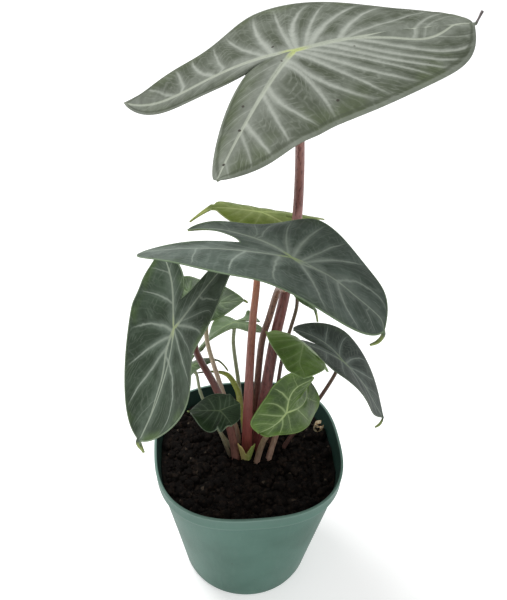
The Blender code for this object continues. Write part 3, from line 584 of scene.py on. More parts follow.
def sharp_plan(leaf, side, along, across):
    """A point of a blade's flat outline, with a corner beside the junction.

    along runs from -1 at a lobe's tip over 0 at the junction to 1 at the apex, and on to 2 where the
    drip tip ends. across is 0 on the midrib or the lobe's rib, 1 on the outer edge and -1 on the edge
    at the notch.
    """
    pick = SIDES[side]
    ahead = np.clip(along, 0, 1)
    back = np.clip(-along, 0, 1)
    beyond = np.clip(along - 1, 0, 1)
    lobe, hook = leaf.lobes[pick], np.radians(leaf.hook[pick])
    rib = np.pi - np.radians(leaf.spread[pick] + leaf.hook[pick] * back)
    x = leaf.length * ahead + lobe * back * np.cos(rib)
    y = lobe * back * np.sin(rib)
    blunt = np.sqrt(1 - back**3)
    keep, swap, end = (1 - back) ** 2, 2 * back * (1 - back), back**2
    shoulder, outer, inner = leaf.shoulder[pick], leaf.outer[pick], leaf.inner[pick]
    front = shoulder * (1 - np.maximum(ahead, 1e-6) ** leaf.taper[pick])
    tail = TAIL_END + (leaf.tip - TAIL_END) * (1 - beyond) + leaf.flare * np.sin(np.pi * beyond**0.8)
    outer_pull = OUTER_PULL[0] * shoulder + OUTER_PULL[1] * outer
    inner_pull = INNER_PULL[0] * leaf.notch + INNER_PULL[1] * inner
    rear = (keep * shoulder + swap * outer_pull + end * outer) * blunt
    notch = (keep * leaf.notch + swap * inner_pull + end * inner) * blunt
    side_on = np.radians(SIDE_ON)
    run = rib - np.arctan(hook * back)
    root_square, tip_square = np.radians(LOBE_SQUARE)
    square = root_square + (tip_square - root_square) * back**4
    lean_front = side_on - np.radians(APEX_LEAN) * ahead
    lean_rear = side_on * (1 - back) + (run - square) * back
    lean_notch = np.pi * (1 - back) + (run + square) * back
    outward, forward = across >= 0, along >= 0
    outer_edge = np.where(forward, np.maximum(front, tail), rear)
    width = np.where(outward, across * outer_edge, -across * notch)
    lean = np.where(outward, np.where(forward, lean_front, lean_rear), lean_notch)
    x = x + width * np.cos(lean)
    y = y + width * np.sin(lean) + side * leaf.sweep * np.clip(x, 0, None) ** 2 / leaf.length
    return x, y * side


def blade_plan(leaf, side, along, across):
    """A point of a blade's flat outline, eased beside the junction by a weighted mean along the edge."""
    reach = EDGE_EASE * np.clip(across, 0, 1) ** 2 * np.clip(1 - along**2, 0, 1)
    x, y = 0.0, 0.0
    for step in range(-EASE_STEPS, EASE_STEPS + 1):
        weight = (EASE_STEPS + 1 - abs(step)) / (EASE_STEPS + 1) ** 2
        near_x, near_y = sharp_plan(leaf, side, along + reach * step / EASE_STEPS, across)
        x = x + weight * near_x
        y = y + weight * near_y
    return x, y


def blade_height(leaf, side, x, y, along, across):
    """Height of a blade over its own plane: it sags, folds at the midrib, arches and waves at its edge."""
    pick = SIDES[side]
    middle, left, right = leaf.sag
    lobe = sum(leaf.lobes) / 2
    blend = np.tanh(SIDE_BLEND * y / leaf.length)
    rear_sag = (left + right) / 2 + (left - right) / 2 * blend
    z = -middle * np.clip(x, 0, None) ** 2 / leaf.length - rear_sag * np.clip(-x, 0, None) ** 2 / lobe
    reach = np.abs(y)
    soft = CREASE_SOFTNESS * leaf.length
    z = z + leaf.fold * (reach - soft * (1 - np.exp(-reach / soft)))
    z = z - leaf.arch * reach**2 / (ARCH_SHARE * leaf.length)
    edge = np.sqrt(1 - np.clip(along, -1, 1) ** 4)
    z = z - leaf.rim * across**4 * edge
    wave = across**2 * np.sin(MARGIN_WAVES * math.tau * along + np.radians(leaf.phase[pick])) * edge
    return z + np.where(across > 0, leaf.wave[pick] * wave, 0)


def place_blade(leaf, x, y, z):
    """Turn points of a blade's own frame by its roll, nod and heading, and move them to its junction."""
    heading, nod, roll = np.radians([leaf.heading, leaf.nod, leaf.roll])
    y, z = y * np.cos(roll) - z * np.sin(roll), y * np.sin(roll) + z * np.cos(roll)
    x, z = x * np.cos(nod) - z * np.sin(nod), x * np.sin(nod) + z * np.cos(nod)
    x, y = x * np.cos(heading) - y * np.sin(heading), x * np.sin(heading) + y * np.cos(heading)
    return np.stack([x, y, z], -1) + np.array(leaf.at)


def blade_points(leaf, side, along, across):
    """Points of a blade's upper face, on grids of along and across."""
    x, y = blade_plan(leaf, side, along, across)
    points = place_blade(leaf, x, y, blade_height(leaf, side, x, y, along, across))
    beyond = np.clip(along - 1, 0, 1)[..., None]
    bend, end = np.array(leaf.tail)
    return points + 2 * beyond * (1 - beyond) * bend + beyond**2 * end


def hermite(part, span, ends, tilts):
    """A smooth step between two values, with its slope at each."""
    rest = 1 - part
    return (ends[0] * rest**2 * (1 + 2 * part) + ends[1] * part**2 * (1 + 2 * rest)
            + span * part * rest * (rest * tilts[0] - part * tilts[1]))


def between(places, marks, spots):
    """Values of smooth rising curves through marks at places, one row of places for each spot."""
    slopes = np.diff(marks) / np.maximum(np.diff(places, axis=-1), 1e-4)
    inner = 2 * slopes[..., :-1] * slopes[..., 1:] / np.maximum(slopes[..., :-1] + slopes[..., 1:], 1e-6)
    tilts = np.concatenate([slopes[..., :1], inner, slopes[..., -1:]], -1)
    low = np.clip((places <= spots[..., None]).sum(-1) - 1, 0, len(marks) - 2)
    start, end, first, last = (np.take_along_axis(values, index[..., None], -1)[..., 0]
                               for values in (places, tilts) for index in (low, low + 1))
    span = np.maximum(end - start, 1e-4)
    part = np.clip((spots - start) / span, 0, 1)
    return hermite(part, span, (marks[low], marks[low + 1]), (first, last))


def smooth_curve(pairs, spots):
    """A smooth curve through pairs of places and values, at the given spots."""
    places, values = np.array(pairs, float).T
    tilts = np.gradient(values, places)
    low = np.clip(np.searchsorted(places, spots, side="right") - 1, 0, len(places) - 2)
    span = places[low + 1] - places[low]
    part = np.clip((spots - places[low]) / span, 0, 1)
    return hermite(part, span, (values[low], values[low + 1]), (tilts[low], tilts[low + 1]))


def rib_line(leaf, side, along):
    """Where the midrib or a lobe's rib lies across the blade, from edge to edge of its half."""
    back = np.clip(-along, 0, 1)
    shift = leaf.rib_shift[SIDES[side]] * np.sin(np.pi * back**1.2)
    return np.where(along >= 0, side * smooth_curve(leaf.bow, np.clip(along, 0, 1)), shift)


def rib_distance(leaf, side, points, along):
    """Distance from each point to the rib at places along the blade, and how far along that rib it is."""
    path = blade_points(leaf, side, along, rib_line(leaf, side, along))
    start, run = path[:-1], np.diff(path, axis=0)
    away = points[:, None] - start
    length = np.maximum((run**2).sum(-1), 1e-9)
    where = np.clip((away * run).sum(-1) / length, 0, 1)
    gap = np.linalg.norm(away - where[..., None] * run, axis=-1)
    best = gap.argmin(1)
    rows = np.arange(len(points))
    return gap[rows, best], (best + where[rows, best]) / len(run)


def vein_field(leaf, side, along, across):
    """A number that is whole on each side vein, how far across its half it is, and how bold the vein."""
    line = rib_line(leaf, side, along)
    offset = across - line
    reach = np.where(offset >= 0, offset / (1 - line), offset / (1 + line))
    outward = (reach >= 0) | (along > 0)
    own = leaf.veins or (PLAIN_VEINS, PLAIN_VEINS)
    count = NOTCH_VEINS * (-along - NOTCH_LEAN * np.abs(reach)) + 0.5
    bold = np.full_like(along, NOTCH_BOLDNESS)
    part = np.abs(reach)[..., None]
    ends = np.full_like(part, PAST_THE_END)
    for region in (side, -side):
        root, half_way, end, strength = np.array(own[SIDES[region]], float).T
        places = (root * (1 - part) * (1 - 2 * part) + 4 * half_way * part * (1 - part)
                  + end * part * (2 * part - 1))
        places = np.maximum.accumulate(np.concatenate([-ends, places, ends], -1), -1)
        marks = np.arange(-1, len(root) + 1) + 0.0
        marks[[0, -1]] += (0.5, -0.5)
        found = between(places, marks, along)
        here = outward & ((reach >= 0) == (region == side))
        count = np.where(here, found, count)
        nearest = np.clip(np.round(found), 0, len(root) - 1).astype(int)
        bold = np.where(here, strength[nearest], bold)
    return count, np.abs(reach), bold


def field_pitch(values, points):
    """Millimetres of surface for one step of a field on a grid."""
    down, over = np.gradient(values)
    step_down, step_over = np.gradient(points, axis=(0, 1))
    e = (step_down**2).sum(-1)
    f = (step_down * step_over).sum(-1)
    g = (step_over**2).sum(-1)
    area = np.maximum(e * g - f * f, 1e-6)
    slope = (g * down**2 - 2 * f * down * over + e * over**2) / area
    return 1 / np.sqrt(np.maximum(slope, 1e-4))


def blade_grid(leaf, side, along, across):
    """One grid of a blade: its points, what is kept on them, and its faces."""
    along, across = np.meshgrid(along, across, indexing="ij")
    points = blade_points(leaf, side, along, across)
    count, reach, bold = vein_field(leaf, side, along, across)
    margin = blade_points(leaf, side, along, np.where(across >= 0, 1.0, -1.0))
    beyond = np.clip(along - 1, 0, 1)
    edge = np.linalg.norm(margin - points, axis=-1)
    edge = np.maximum(edge, TAIL_CLEARANCE * beyond) / leaf.margin[SIDES[side]]
    flat_points = points.reshape(-1, 3)
    steps = np.linspace(0, 1, RIB_STEPS)
    front, front_share = rib_distance(leaf, side, flat_points, steps)
    rear, rear_share = rib_distance(leaf, side, flat_points, -steps)
    ahead = (along >= 0).ravel()
    distance = np.where(ahead, front, np.minimum(front, rear))
    share = np.where(ahead | (front < rear), front_share, rear_share)
    fields = {
        "rib": distance / (leaf.rib_width * (1 - RIB_TAPER * share)),
        "run": distance,
        "vein": count,
        "pitch": np.minimum(field_pitch(count, points), WIDEST_PITCH),
        "reach": reach,
        "bold": bold,
        "edge": edge,
        "heart": np.linalg.norm(flat_points - np.array(leaf.at), axis=1),
        "tail": beyond,
        "across": np.abs(across),
        "share": share,
    }
    faces = net_faces(*along.shape)
    return flat_points, {name: field.ravel() for name, field in fields.items()}, faces[:, ::side]


def merged_blade(leaf):
    """All grids of a blade as one net of points and faces."""
    fore = max(FEWEST_STEPS["along"], round(leaf.length / leaf.step))
    aft = max(FEWEST_STEPS["along"], round(max(leaf.lobes) / leaf.step))
    wide = max(FEWEST_STEPS["outward"], round(max(leaf.shoulder) / leaf.step))
    deep = max(FEWEST_STEPS["inward"], round(leaf.notch / leaf.step / NOTCH_STEP))
    outward, inward = np.linspace(0, 1, wide + 1), np.linspace(-1, 0, deep + 1)
    apex = np.sin(np.linspace(0, np.pi / 2, fore + 1))[1:]
    tail = 1 + np.arange(1, TAIL_STEPS + 1) / TAIL_STEPS
    lobe = -np.sin(np.linspace(np.pi / 2, 0, aft + 1))
    parts, start = [], 0
    for side in (1, -1):
        for along, across in ((np.concatenate([lobe, apex, tail]), outward), (lobe, inward)):
            points, fields, faces = blade_grid(leaf, side, along, across)
            parts.append((points, fields, faces + start))
            start += len(points)
    points, grids, nets = zip(*parts)
    points = np.concatenate(points)
    _, first, index = np.unique(np.round(points / MERGE_DISTANCE), axis=0, return_index=True,
                                return_inverse=True)
    fields = {name: np.concatenate([grid[name] for grid in grids])[first] for name in grids[0]}
    faces = []
    for face in index.ravel()[np.concatenate(nets)]:
        ring = [corner for spot, corner in enumerate(face) if corner != face[spot - 1]]
        if len(ring) > 2 and len(set(ring)) == len(ring):
            faces.append(ring)
    return points[first], fields, faces


def vertex_normals(points, faces):
    """Area-weighted normals of a net."""
    normals = np.zeros_like(points)
    for size in (3, 4):
        group = np.array([face for face in faces if len(face) == size])
        if len(group):
            corners = points[group]
            cross = np.cross(corners[:, size // 2] - corners[:, 0], corners[:, -1] - corners[:, 1])
            for k in range(size):
                np.add.at(normals, group[:, k], cross)
    return normals / np.maximum(np.linalg.norm(normals, axis=1, keepdims=True), 1e-9)


def boundary_edges(faces):
    """The edges that only one face has, in that face's direction."""
    once = {}
    for face in faces:
        for pair in zip([face[-1], *face], face):
            if pair[::-1] in once:
                del once[pair[::-1]]
            else:
                once[pair] = True
    return list(once)


def make_blade(leaf, marks):
    """A blade with quilted veins above, raised ribs below and a thin edge."""
    points, fields, faces = merged_blade(leaf)
    normals = vertex_normals(points, faces)
    width, run, pitch, vein = leaf.rib_width, fields["run"], fields["pitch"], fields["vein"]
    inside = 1 - fields["across"] ** 4
    cell = np.abs(np.sin(np.pi * vein)) ** CELL_ROUNDNESS
    low, high = CLEAR_OF_RIB
    clear = np.clip((run / width - low) / (high - low), 0, 1)
    clear = clear * clear * (3 - 2 * clear) * inside * np.minimum(1, pitch / FULL_PITCH)
    ripple = np.array([noise.noise(Vector(point) * RIPPLE_SCALE) for point in points])
    quilt = leaf.bulge * (cell - CELL_LEVEL) * clear * np.minimum(1, fields["bold"] + 0.2)
    relief = quilt + RIPPLE * ripple * clear - GROOVE * width * np.exp(-(run / width) ** 2)
    thick = EDGE_THICKNESS + (BLADE_THICKNESS - EDGE_THICKNESS) * (1 - fields["across"] ** 6)
    ridge = RIDGE * width * (1 - RIDGE_TAPER * fields["share"])
    ridge = ridge * np.exp(-(run / (RIDGE_REACH * width)) ** 2) * inside
    near = np.abs(vein - np.round(vein)) * pitch
    ridge += VEIN_RIDGE * np.exp(-(near / VEIN_RIDGE_REACH) ** 2) * clear
    skins = np.concatenate([points + normals * relief[:, None], points - normals * (thick + ridge)[:, None]])
    count = len(points)
    below = [[corner + count for corner in face[::-1]] for face in faces]
    rim = [[b, a, a + count, b + count] for a, b in boundary_edges(faces)]
    kept = {name: np.tile(fields[name], 2) for name in KEPT_FIELDS}
    slots = [0] * len(faces) + [1] * len(below) + [0] * len(rim)
    name = f"leaf_{leaf.number:02d}_blade"
    surfaces = [upper_surface(leaf, marks), lower_surface(leaf, marks)]
    blade = mesh_object(f"{name}_skin", skins, faces + below + rim, kept, surfaces, slots)
    blade.data.set_sharp_from_angle(angle=SHARP_EDGE)
    settle(blade, name)


# Stalks

STALK_DEPTH = 1.1
STALK_BURIAL = 6
STALK_STEP = 1.2
COLLAR = 0.35
COLLAR_HEIGHT = 3


@dataclass
class Stalk:
    """A leaf stalk: its foot in the soil, the points it passes on the way up, and its two radii."""
    number: int
    foot: tuple
    through: list
    radii: tuple
    finish: str
    approach: float = 8.0


STALKS = [
    Stalk(1, (6, 7), [(6.5, 9, 97), (8.5, 12, 114), (13, 15, 155.5), (17.5, 17, 187), (21, 18.5, 226.5),
                      (20, 14, 269)], (3.7, 1.9), "maroon", approach=20),
    Stalk(2, (2.5, 14.5), [(4, 18.5, 108), (6, 18, 149.5), (9.5, 12, 173), (13, 1, 198.5)], (2.1, 1.6),
          "mottled", approach=14),
    Stalk(3, (-0.5, 2), [(-0.5, 4.5, 107), (0, 9, 139), (1, 14, 169.5), (2.5, 19, 190)], (3.3, 1.4), "rose"),
    Stalk(4, (-6.6, -1.5), [(-10, -0.5, 103.5), (-17.5, 1, 131), (-27.5, -4, 161.5)], (2.6, 1.5), "russet",
          approach=10),
    Stalk(5, (21, 8), [(31, 12, 98.5), (40.5, 15, 115), (47, 12.5, 135)], (1.4, 1.0), "brown", approach=5),
    Stalk(6, (12, -1.8), [(16.5, 4, 97), (24, 9, 122), (27, 7, 142), (27, -3, 160)], (1.8, 1.2), "tan"),
    Stalk(7, (5.2, -4.5), [(8.3, -4.5, 97), (13, -14, 120)], (1.9, 1.2), "tan"),
    Stalk(8, (-10.3, 0.5), [(-13.2, -6, 99), (-15, -16, 118)], (1.2, 0.9), "dull"),
    Stalk(9, (-5.6, 10.5), [(-7, 11, 92), (-15, 14, 118), (-23.5, 17, 152)], (1.6, 1.1), "cream"),
    Stalk(10, (-2.5, 17), [(-4.5, 21, 101), (-6.5, 25.5, 116), (-9.5, 29, 139)], (1.5, 1.0), "pale",
          approach=2),
    Stalk(11, (-10, 7.5), [(-17, 10, 91), (-27, 16, 112)], (1.2, 0.8), "pale", approach=6),
    Stalk(12, (12.5, 11), [(16, 10, 132.5), (17.5, 10, 148), (20, 8, 166), (22.8, 6, 184)], (1.2, 0.9),
          "brown", approach=2),
]

# Colours at a stalk's foot, middle and top and of its dashes, the share of the dashes that shows, and
# where along the stalk the top's colour starts.
STALK_FINISHES = {
    "maroon": ((116, 60, 59), (130, 78, 74), (162, 116, 106), (78, 42, 41), 0.75, 0.45),
    "rose": ((146, 74, 70), (150, 86, 79), (184, 124, 98), (112, 58, 55), 0.35, 0.3),
    "mottled": ((108, 62, 59), (126, 94, 83), (154, 116, 95), (68, 42, 39), 0.85, 0.45),
    "russet": ((152, 108, 98), (108, 66, 60), (96, 58, 52), (70, 42, 40), 0.4, 0.45),
    "brown": ((92, 66, 60), (90, 64, 56), (106, 88, 70), (58, 40, 36), 0.5, 0.45),
    "tan": ((160, 128, 114), (150, 130, 104), (140, 140, 96), (110, 84, 76), 0.35, 0.45),
    "pale": ((158, 156, 132), (152, 160, 128), (154, 166, 130), (124, 124, 98), 0.25, 0.45),
    "dull": ((112, 98, 84), (130, 124, 100), (140, 140, 110), (90, 84, 66), 0.3, 0.45),
    "cream": ((186, 158, 142), (190, 168, 148), (184, 176, 142), (150, 124, 108), 0.25, 0.45),
}


def stalk_surface(name, finish):
    """A stalk's skin: a colour that changes from foot to top, with short dark dashes along it."""
    foot, middle, top, dash, share, turn = finish
    skin = Skin(f"stalk_{name}_skin")
    rise = skin.kept("rise")
    dashes = skin.cloud(0.9, 3.0, 0.6, upright=0.22)
    streaks = skin.cloud(1.1, 3.0, 0.6, upright=0.04)
    light = [min(255, part * 1.25 + 8) for part in middle]
    colour = skin.layers(
        skin.mix(skin.fade(rise, 0.0, 0.4), foot, middle), (skin.fade(rise, turn, turn + 0.5), 1.0, top),
        (skin.fade(dashes, 0.5, 0.64), share, dash), (skin.fade(streaks, 0.52, 0.72), 0.4, light))
    return skin.dress(colour, skin.scaled(dashes, 0.2, 0.3), skin.bump(streaks, 0.12))


def smooth_path(points, step):
    """Points about one step apart along a smooth curve through the given ones."""
    points = np.array(points, float)
    padded = np.vstack([2 * points[0] - points[1], points, 2 * points[-1] - points[-2]])
    path = []
    for a, b, c, d in zip(padded, padded[1:], padded[2:], padded[3:]):
        pieces = max(1, round(np.linalg.norm(c - b) / step))
        for t in np.arange(pieces) / pieces:
            path.append(0.5 * (2 * b + (c - a) * t + (2 * a - 5 * b + 4 * c - d) * t**2
                               + (3 * b - a - 3 * c + d) * t**3))
    path.append(points[-1])
    return np.array(path)


def rising_path(foot, points, step):
    """A smooth path that starts upright in the peat, with the share of its length at each point."""
    path = smooth_path([(*foot, SOIL_TOP - STALK_BURIAL), (*foot, SOIL_TOP + 0.5), *points], step)
    return path, np.linspace(0, 1, len(path))


def tube(name, path, radii, section, sides, surface):
    """A closed tube along a path. section changes its radius with the angle and the share of its length."""
    tangents = np.gradient(path, axis=0)
    tangents /= np.linalg.norm(tangents, axis=1, keepdims=True)
    across = np.cross(tangents[0], (0, 1, 0))
    angles = np.arange(sides) / sides * math.tau
    share = np.linspace(0, 1, len(path))
    rings = []
    for spot, ahead, radius, part in zip(path, tangents, radii, share):
        across = across - ahead * across.dot(ahead)
        across /= np.linalg.norm(across)
        reach = radius * section(angles, part)
        beside = np.cross(ahead, across)
        rings.append(spot + (np.cos(angles) * reach)[:, None] * across
                     + (np.sin(angles) * reach)[:, None] * beside)
    last = (len(path) - 1) * sides
    faces = net_faces(len(path), sides, round_columns=True)[:, [0, 3, 2, 1]].tolist()
    faces += [list(range(sides))[::-1], list(range(last, last + sides))]
    rise = np.repeat(share, sides)
    item = mesh_object(f"{name}_skin", np.concatenate(rings), faces, {"rise": rise}, [surface])
    item.data.set_sharp_from_angle(angle=SHARP_EDGE)
    settle(item, name)


def stalk_ribs(angles, share):
    """Shallow flutes along a stalk."""
    return 1 + 0.02 * np.sin(5 * angles + 3 * share) + 0.012 * np.sin(11 * angles)


def make_stalk(stalk, leaf, surface):
    """A leaf stalk from the peat to the underside of its blade, with a collar at its top."""
    junction, above = place_blade(leaf, np.zeros(2), np.zeros(2), np.array([0.0, 1.0]))
    normal = above - junction
    top = np.array(leaf.at) - normal * STALK_DEPTH
    path, share = rising_path(stalk.foot, [*stalk.through, top - normal * stalk.approach, top], STALK_STEP)
    thick, thin = stalk.radii
    collar = COLLAR * np.exp(-(1 - share) * len(path) * STALK_STEP / COLLAR_HEIGHT)
    radii = (thick + (thin - thick) * share**0.8) * (1 + collar)
    tube(f"leaf_{stalk.number:02d}_petiole", path, radii, stalk_ribs, 20, surface)


# Spear, sheath and withered leaf

SPEAR_FOOT = (-1, 9.5)
SPEAR_PATH = [(-3, 12, 98), (-5, 14, 107.5), (-6.5, 17, 115.5), (-11, 20, 123), (-15, 22, 124.5),
              (-20, 24, 123.5), (-24.5, 25, 122.5), (-32, 26, 120)]
SPEAR_RADII = (1.6, 1.7, 0.35)
SHEATH_CENTRE = (-0.8, -2.4)
SHEATH_LEVELS = (78.2, 95.5)
SHEATH_RADII = (2.3, 5.4)
SHEATH_NOTCH = 7.0
SHEATH_SPLIT = 0.42
SHEATH_HALF_ANGLE = math.radians(78)
SHEATH_WALL = 0.8
WITHERED_AT = (42.4, 22.5, 83.9)
WITHERED_RADII = (2.2, 3.4)
WITHERED_WIDTHS = (2.5, 5.5)
WITHERED_TURN = math.radians(285)
WITHERED_WALL = 0.45
WITHERED_SKEW = 0.25


def rolled(angles, share):
    """The section of a rolled leaf: a spiral whose free edge shows as a step."""
    return 0.9 + 0.2 * ((angles / math.tau + 0.35 * share) % 1)


def spear_surface():
    """The rolled new leaf: yellow-green, olive towards its tip."""
    skin = Skin("new_leaf_skin")
    rise = skin.kept("rise")
    streaks = skin.cloud(0.8, upright=0.08)
    colour = skin.layers(
        skin.mix(skin.fade(rise, 0.2, 0.75), (176, 184, 96), (150, 164, 70)),
        (skin.fade(rise, 0.72, 0.95), 1.0, (78, 84, 42)),
        (skin.fade(streaks, 0.5, 0.7), 0.5, (206, 206, 140)))
    return skin.dress(colour, 0.42, skin.bump(streaks, 0.15))


def make_spear():
    """The rolled new leaf: a slim tube that arches over and runs out into a thin drip tip."""
    path, share = rising_path(SPEAR_FOOT, SPEAR_PATH, 0.8)
    foot, middle, tip = SPEAR_RADII
    radii = np.interp(share, [0, 0.6, 0.72, 0.82, 1], [foot, middle, 0.8 * middle, 2 * tip, tip])
    tube("new_leaf_spear", path, radii, rolled, 32, spear_surface())


def sheath_surface():
    """Torn stalk flesh: fibrous, beige at one lip and green at the other, brown at its foot."""
    skin = Skin("sheath_skin")
    fibres = skin.cloud(0.6, 4.0, 0.65, upright=0.1)
    place_across, level = (skin.part(skin.place(), axis) for axis in "XZ")
    greener = skin.fade(place_across, SHEATH_CENTRE[0] - 3, SHEATH_CENTRE[0] + 3)
    colour = skin.layers(
        skin.mix(greener, (196, 180, 112), (134, 156, 74)),
        (skin.fade(level, SHEATH_LEVELS[0] + 6, SHEATH_LEVELS[0]), 1.0, (150, 116, 84)),
        (skin.fade(fibres, 0.45, 0.7), 0.55, (214, 200, 148)))
    return skin.dress(colour, 0.55, skin.bump(fibres, 0.25))


def make_sheath():
    """The cut foot of an old stalk: an open cup that flares upwards and is split down the front."""
    low, high = SHEATH_LEVELS
    foot, mouth = SHEATH_RADII
    rows = []
    for turn in np.linspace(-SHEATH_HALF_ANGLE, SHEATH_HALF_ANGLE, 23):
        split = max(0.0, 1 - abs(turn) / (SHEATH_SPLIT * SHEATH_HALF_ANGLE))
        top = high - SHEATH_NOTCH * split + 0.6 * noise.noise(Vector((3.1 * turn, 0.4, 0)))
        column = []
        for level in np.linspace(0, 1, 12):
            z = low + (top - low) * level
            reach = foot + (mouth - foot) * ((z - low) / (high - low))
            reach += 0.25 * noise.noise(Vector((5 * turn, 0.5 * z, 2)))
            x, y = SHEATH_CENTRE
            column.append((x + reach * math.sin(turn), y - reach * math.cos(turn), z))
        rows.append(column)
    settle(thick_sheet("old_sheath_skin", rows, SHEATH_WALL, -1.0, sheath_surface()), "old_sheath")


def withered_surface():
    """Dried leaf, mottled beige and ochre."""
    skin = Skin("withered_skin")
    patches = skin.cloud(1.6, 5.0, 0.65)
    colour = skin.mix(skin.fade(patches, 0.4, 0.62), (142, 114, 78), (196, 184, 154))
    return skin.dress(colour, 0.8, skin.bump(patches, 0.4))


def make_withered_leaf():
    """A small dried leaf, rolled into an open curl that lies on the soil."""
    centre = Vector(WITHERED_AT)
    start, end = WITHERED_RADII
    narrow, wide = WITHERED_WIDTHS
    rows = []
    for share in np.linspace(0, 1, 40):
        turn = WITHERED_TURN * share
        reach = start + (end - start) * share + 0.18 * noise.noise(Vector((3 * turn, 0, 0)))
        half = (narrow + (wide - narrow) * math.sin(math.pi * share)) / 2
        spot = centre + Vector((reach * math.cos(turn), 0, -reach * math.sin(turn)))
        rows.append([spot + Vector((WITHERED_SKEW * w * half, w * half, 0)) for w in np.linspace(-1, 1, 7)])
    settle(thick_sheet("withered_leaf_skin", rows, WITHERED_WALL, 0.0, withered_surface()), "withered_leaf")


# Pot

POT_HEIGHT = 90.4
FOOT_RADIUS = 37.2
FOOT_ROUNDING = 1.5
RIM_HALF = 53.0
RIM_EXPONENT = 2.63
BAND_HEIGHT = 9.0
BAND_STEP = 0.8
LIP_HEIGHT = 1.3
LIP_REACH = 0.5
WALL = 1.1
FLOOR = 1.6
POT_TURN = math.radians(6.75)
POT_SEGMENTS = 216
# Where the band's colour, the lip's painted highlight and the inner wall's painted shade start and are full,
# in points of the section.
BAND_POINTS = (28, 32)
LIP_HIGHLIGHT_POINTS = (34, 37)
INNER_SHADE_POINTS = (42, 45)
DRAIN_HOLES = 6
DRAIN_RADIUS = 4.0
DRAIN_CIRCLE = 24.0


def rim_reach(angle, half):
    """Distance from the axis to a rounded square of the given half width, along an angle."""
    turned = angle - POT_TURN
    corner = abs(math.cos(turned)) ** RIM_EXPONENT + abs(math.sin(turned)) ** RIM_EXPONENT
    return half / corner ** (1 / RIM_EXPONENT)


def wall_reach(angle, height, inset=0.0):
    """Distance from the axis to the body's outer wall, less an inset: a straight loft from foot to band."""
    share = height / (POT_HEIGHT - BAND_HEIGHT)
    top = rim_reach(angle, RIM_HALF - LIP_REACH - 2 * BAND_STEP)
    return FOOT_RADIUS + (top - FOOT_RADIUS) * share - inset


def arc(centre, radius, start, end, steps=5):
    """Points of a round edge, as reach and height, with angles in degrees."""
    turns = np.radians(np.linspace(start, end, steps))
    return [(centre[0] + radius * math.cos(turn), centre[1] + radius * math.sin(turn)) for turn in turns]


def pot_profile(angle):
    """The wall's section at one angle, from the foot's edge up the outside and down the inside."""
    band_foot = POT_HEIGHT - BAND_HEIGHT
    lip_foot = POT_HEIGHT - LIP_HEIGHT
    lip = rim_reach(angle, RIM_HALF)
    band = lip - LIP_REACH
    inner = band - WALL
    levels = np.linspace(3, band_foot - 0.2, 24)
    inside = np.linspace(band_foot - 0.6, FLOOR + 1, 20)
    return [
        *arc((FOOT_RADIUS - FOOT_ROUNDING, FOOT_ROUNDING), FOOT_ROUNDING, -90, -8),
        *[(wall_reach(angle, level), level) for level in levels],
        (band - 0.75, band_foot + 0.25),
        (band - 0.35, band_foot + 0.6),
        (band - 0.1, band_foot + 1.3),
        (band, band_foot + 2.4),
        (band, lip_foot - 0.5),
        (band + 0.15, lip_foot - 0.15),
        *arc((lip - 0.45, lip_foot + 0.4), 0.45, -60, 0, 3),
        *arc((lip - 0.45, POT_HEIGHT - 0.45), 0.45, 0, 90),
        *arc((inner + 0.4, POT_HEIGHT - 0.4), 0.4, 90, 180),
        *[(inner - (inner - wall_reach(angle, band_foot, WALL)) * part, POT_HEIGHT - BAND_HEIGHT * part)
          for part in (0.3, 0.6, 0.9)],
        *[(wall_reach(angle, level, WALL), level) for level in inside],
        (wall_reach(angle, FLOOR, WALL + 0.5), FLOOR),
    ]


def pot_surface():
    """Matt teal plastic with a fine moulded grain, scuffs, a paler band, a painted highlight on the lip,
    painted shade on the inner wall, and specks of dirt.
    """
    skin = Skin("pot_skin")
    streaks = skin.cloud(5.0, 4.0, 0.6, upright=0.1)
    points = len(pot_profile(0))
    band, lip, inward = (skin.fade(skin.kept("along"), start / points, full / points)
                         for start, full in (BAND_POINTS, LIP_HIGHLIGHT_POINTS, INNER_SHADE_POINTS))
    specks = skin.fade(skin.cells(0.11)["Distance"], 0.05, 0.02)
    colour = skin.layers(
        skin.mix(skin.fade(skin.cloud(38.0), 0.3, 0.7), (38, 86, 71), (58, 103, 89)),
        (skin.fade(streaks, 0.5, 0.75), 0.25, (92, 126, 114)), (band, 0.3, (96, 132, 120)),
        # inward paints shade: the inner wall turns near-black teal, as the shade inside the pot.
        # lip paints a highlight: the rolled lip turns pale grey-green, as glancing light along the rim.
        (lip, 0.35, (126, 152, 142)), (inward, 0.93, (26, 54, 47)), (specks, 1.0, (34, 30, 24)))
    return skin.dress(colour, skin.scaled(streaks, 0.15, 0.42), skin.bump(skin.cloud(0.35, 2.0), 0.05))


def lofted(name, section, segments, surface):
    """A closed shape from a section that varies with the angle, with flat ends."""
    points = []
    for angle in [math.tau * step / segments for step in range(segments)]:
        points += [(r * math.cos(angle), r * math.sin(angle), z) for r, z in section(angle)]
    levels = len(points) // segments
    faces = net_faces(segments, levels, round_rows=True).tolist()
    low_end = list(range(0, len(points), levels))
    faces += [low_end[::-1], [corner + levels - 1 for corner in low_end]]
    along = np.tile(np.arange(levels) / levels, segments)
    return mesh_object(name, points, faces, {"along": along}, [surface])


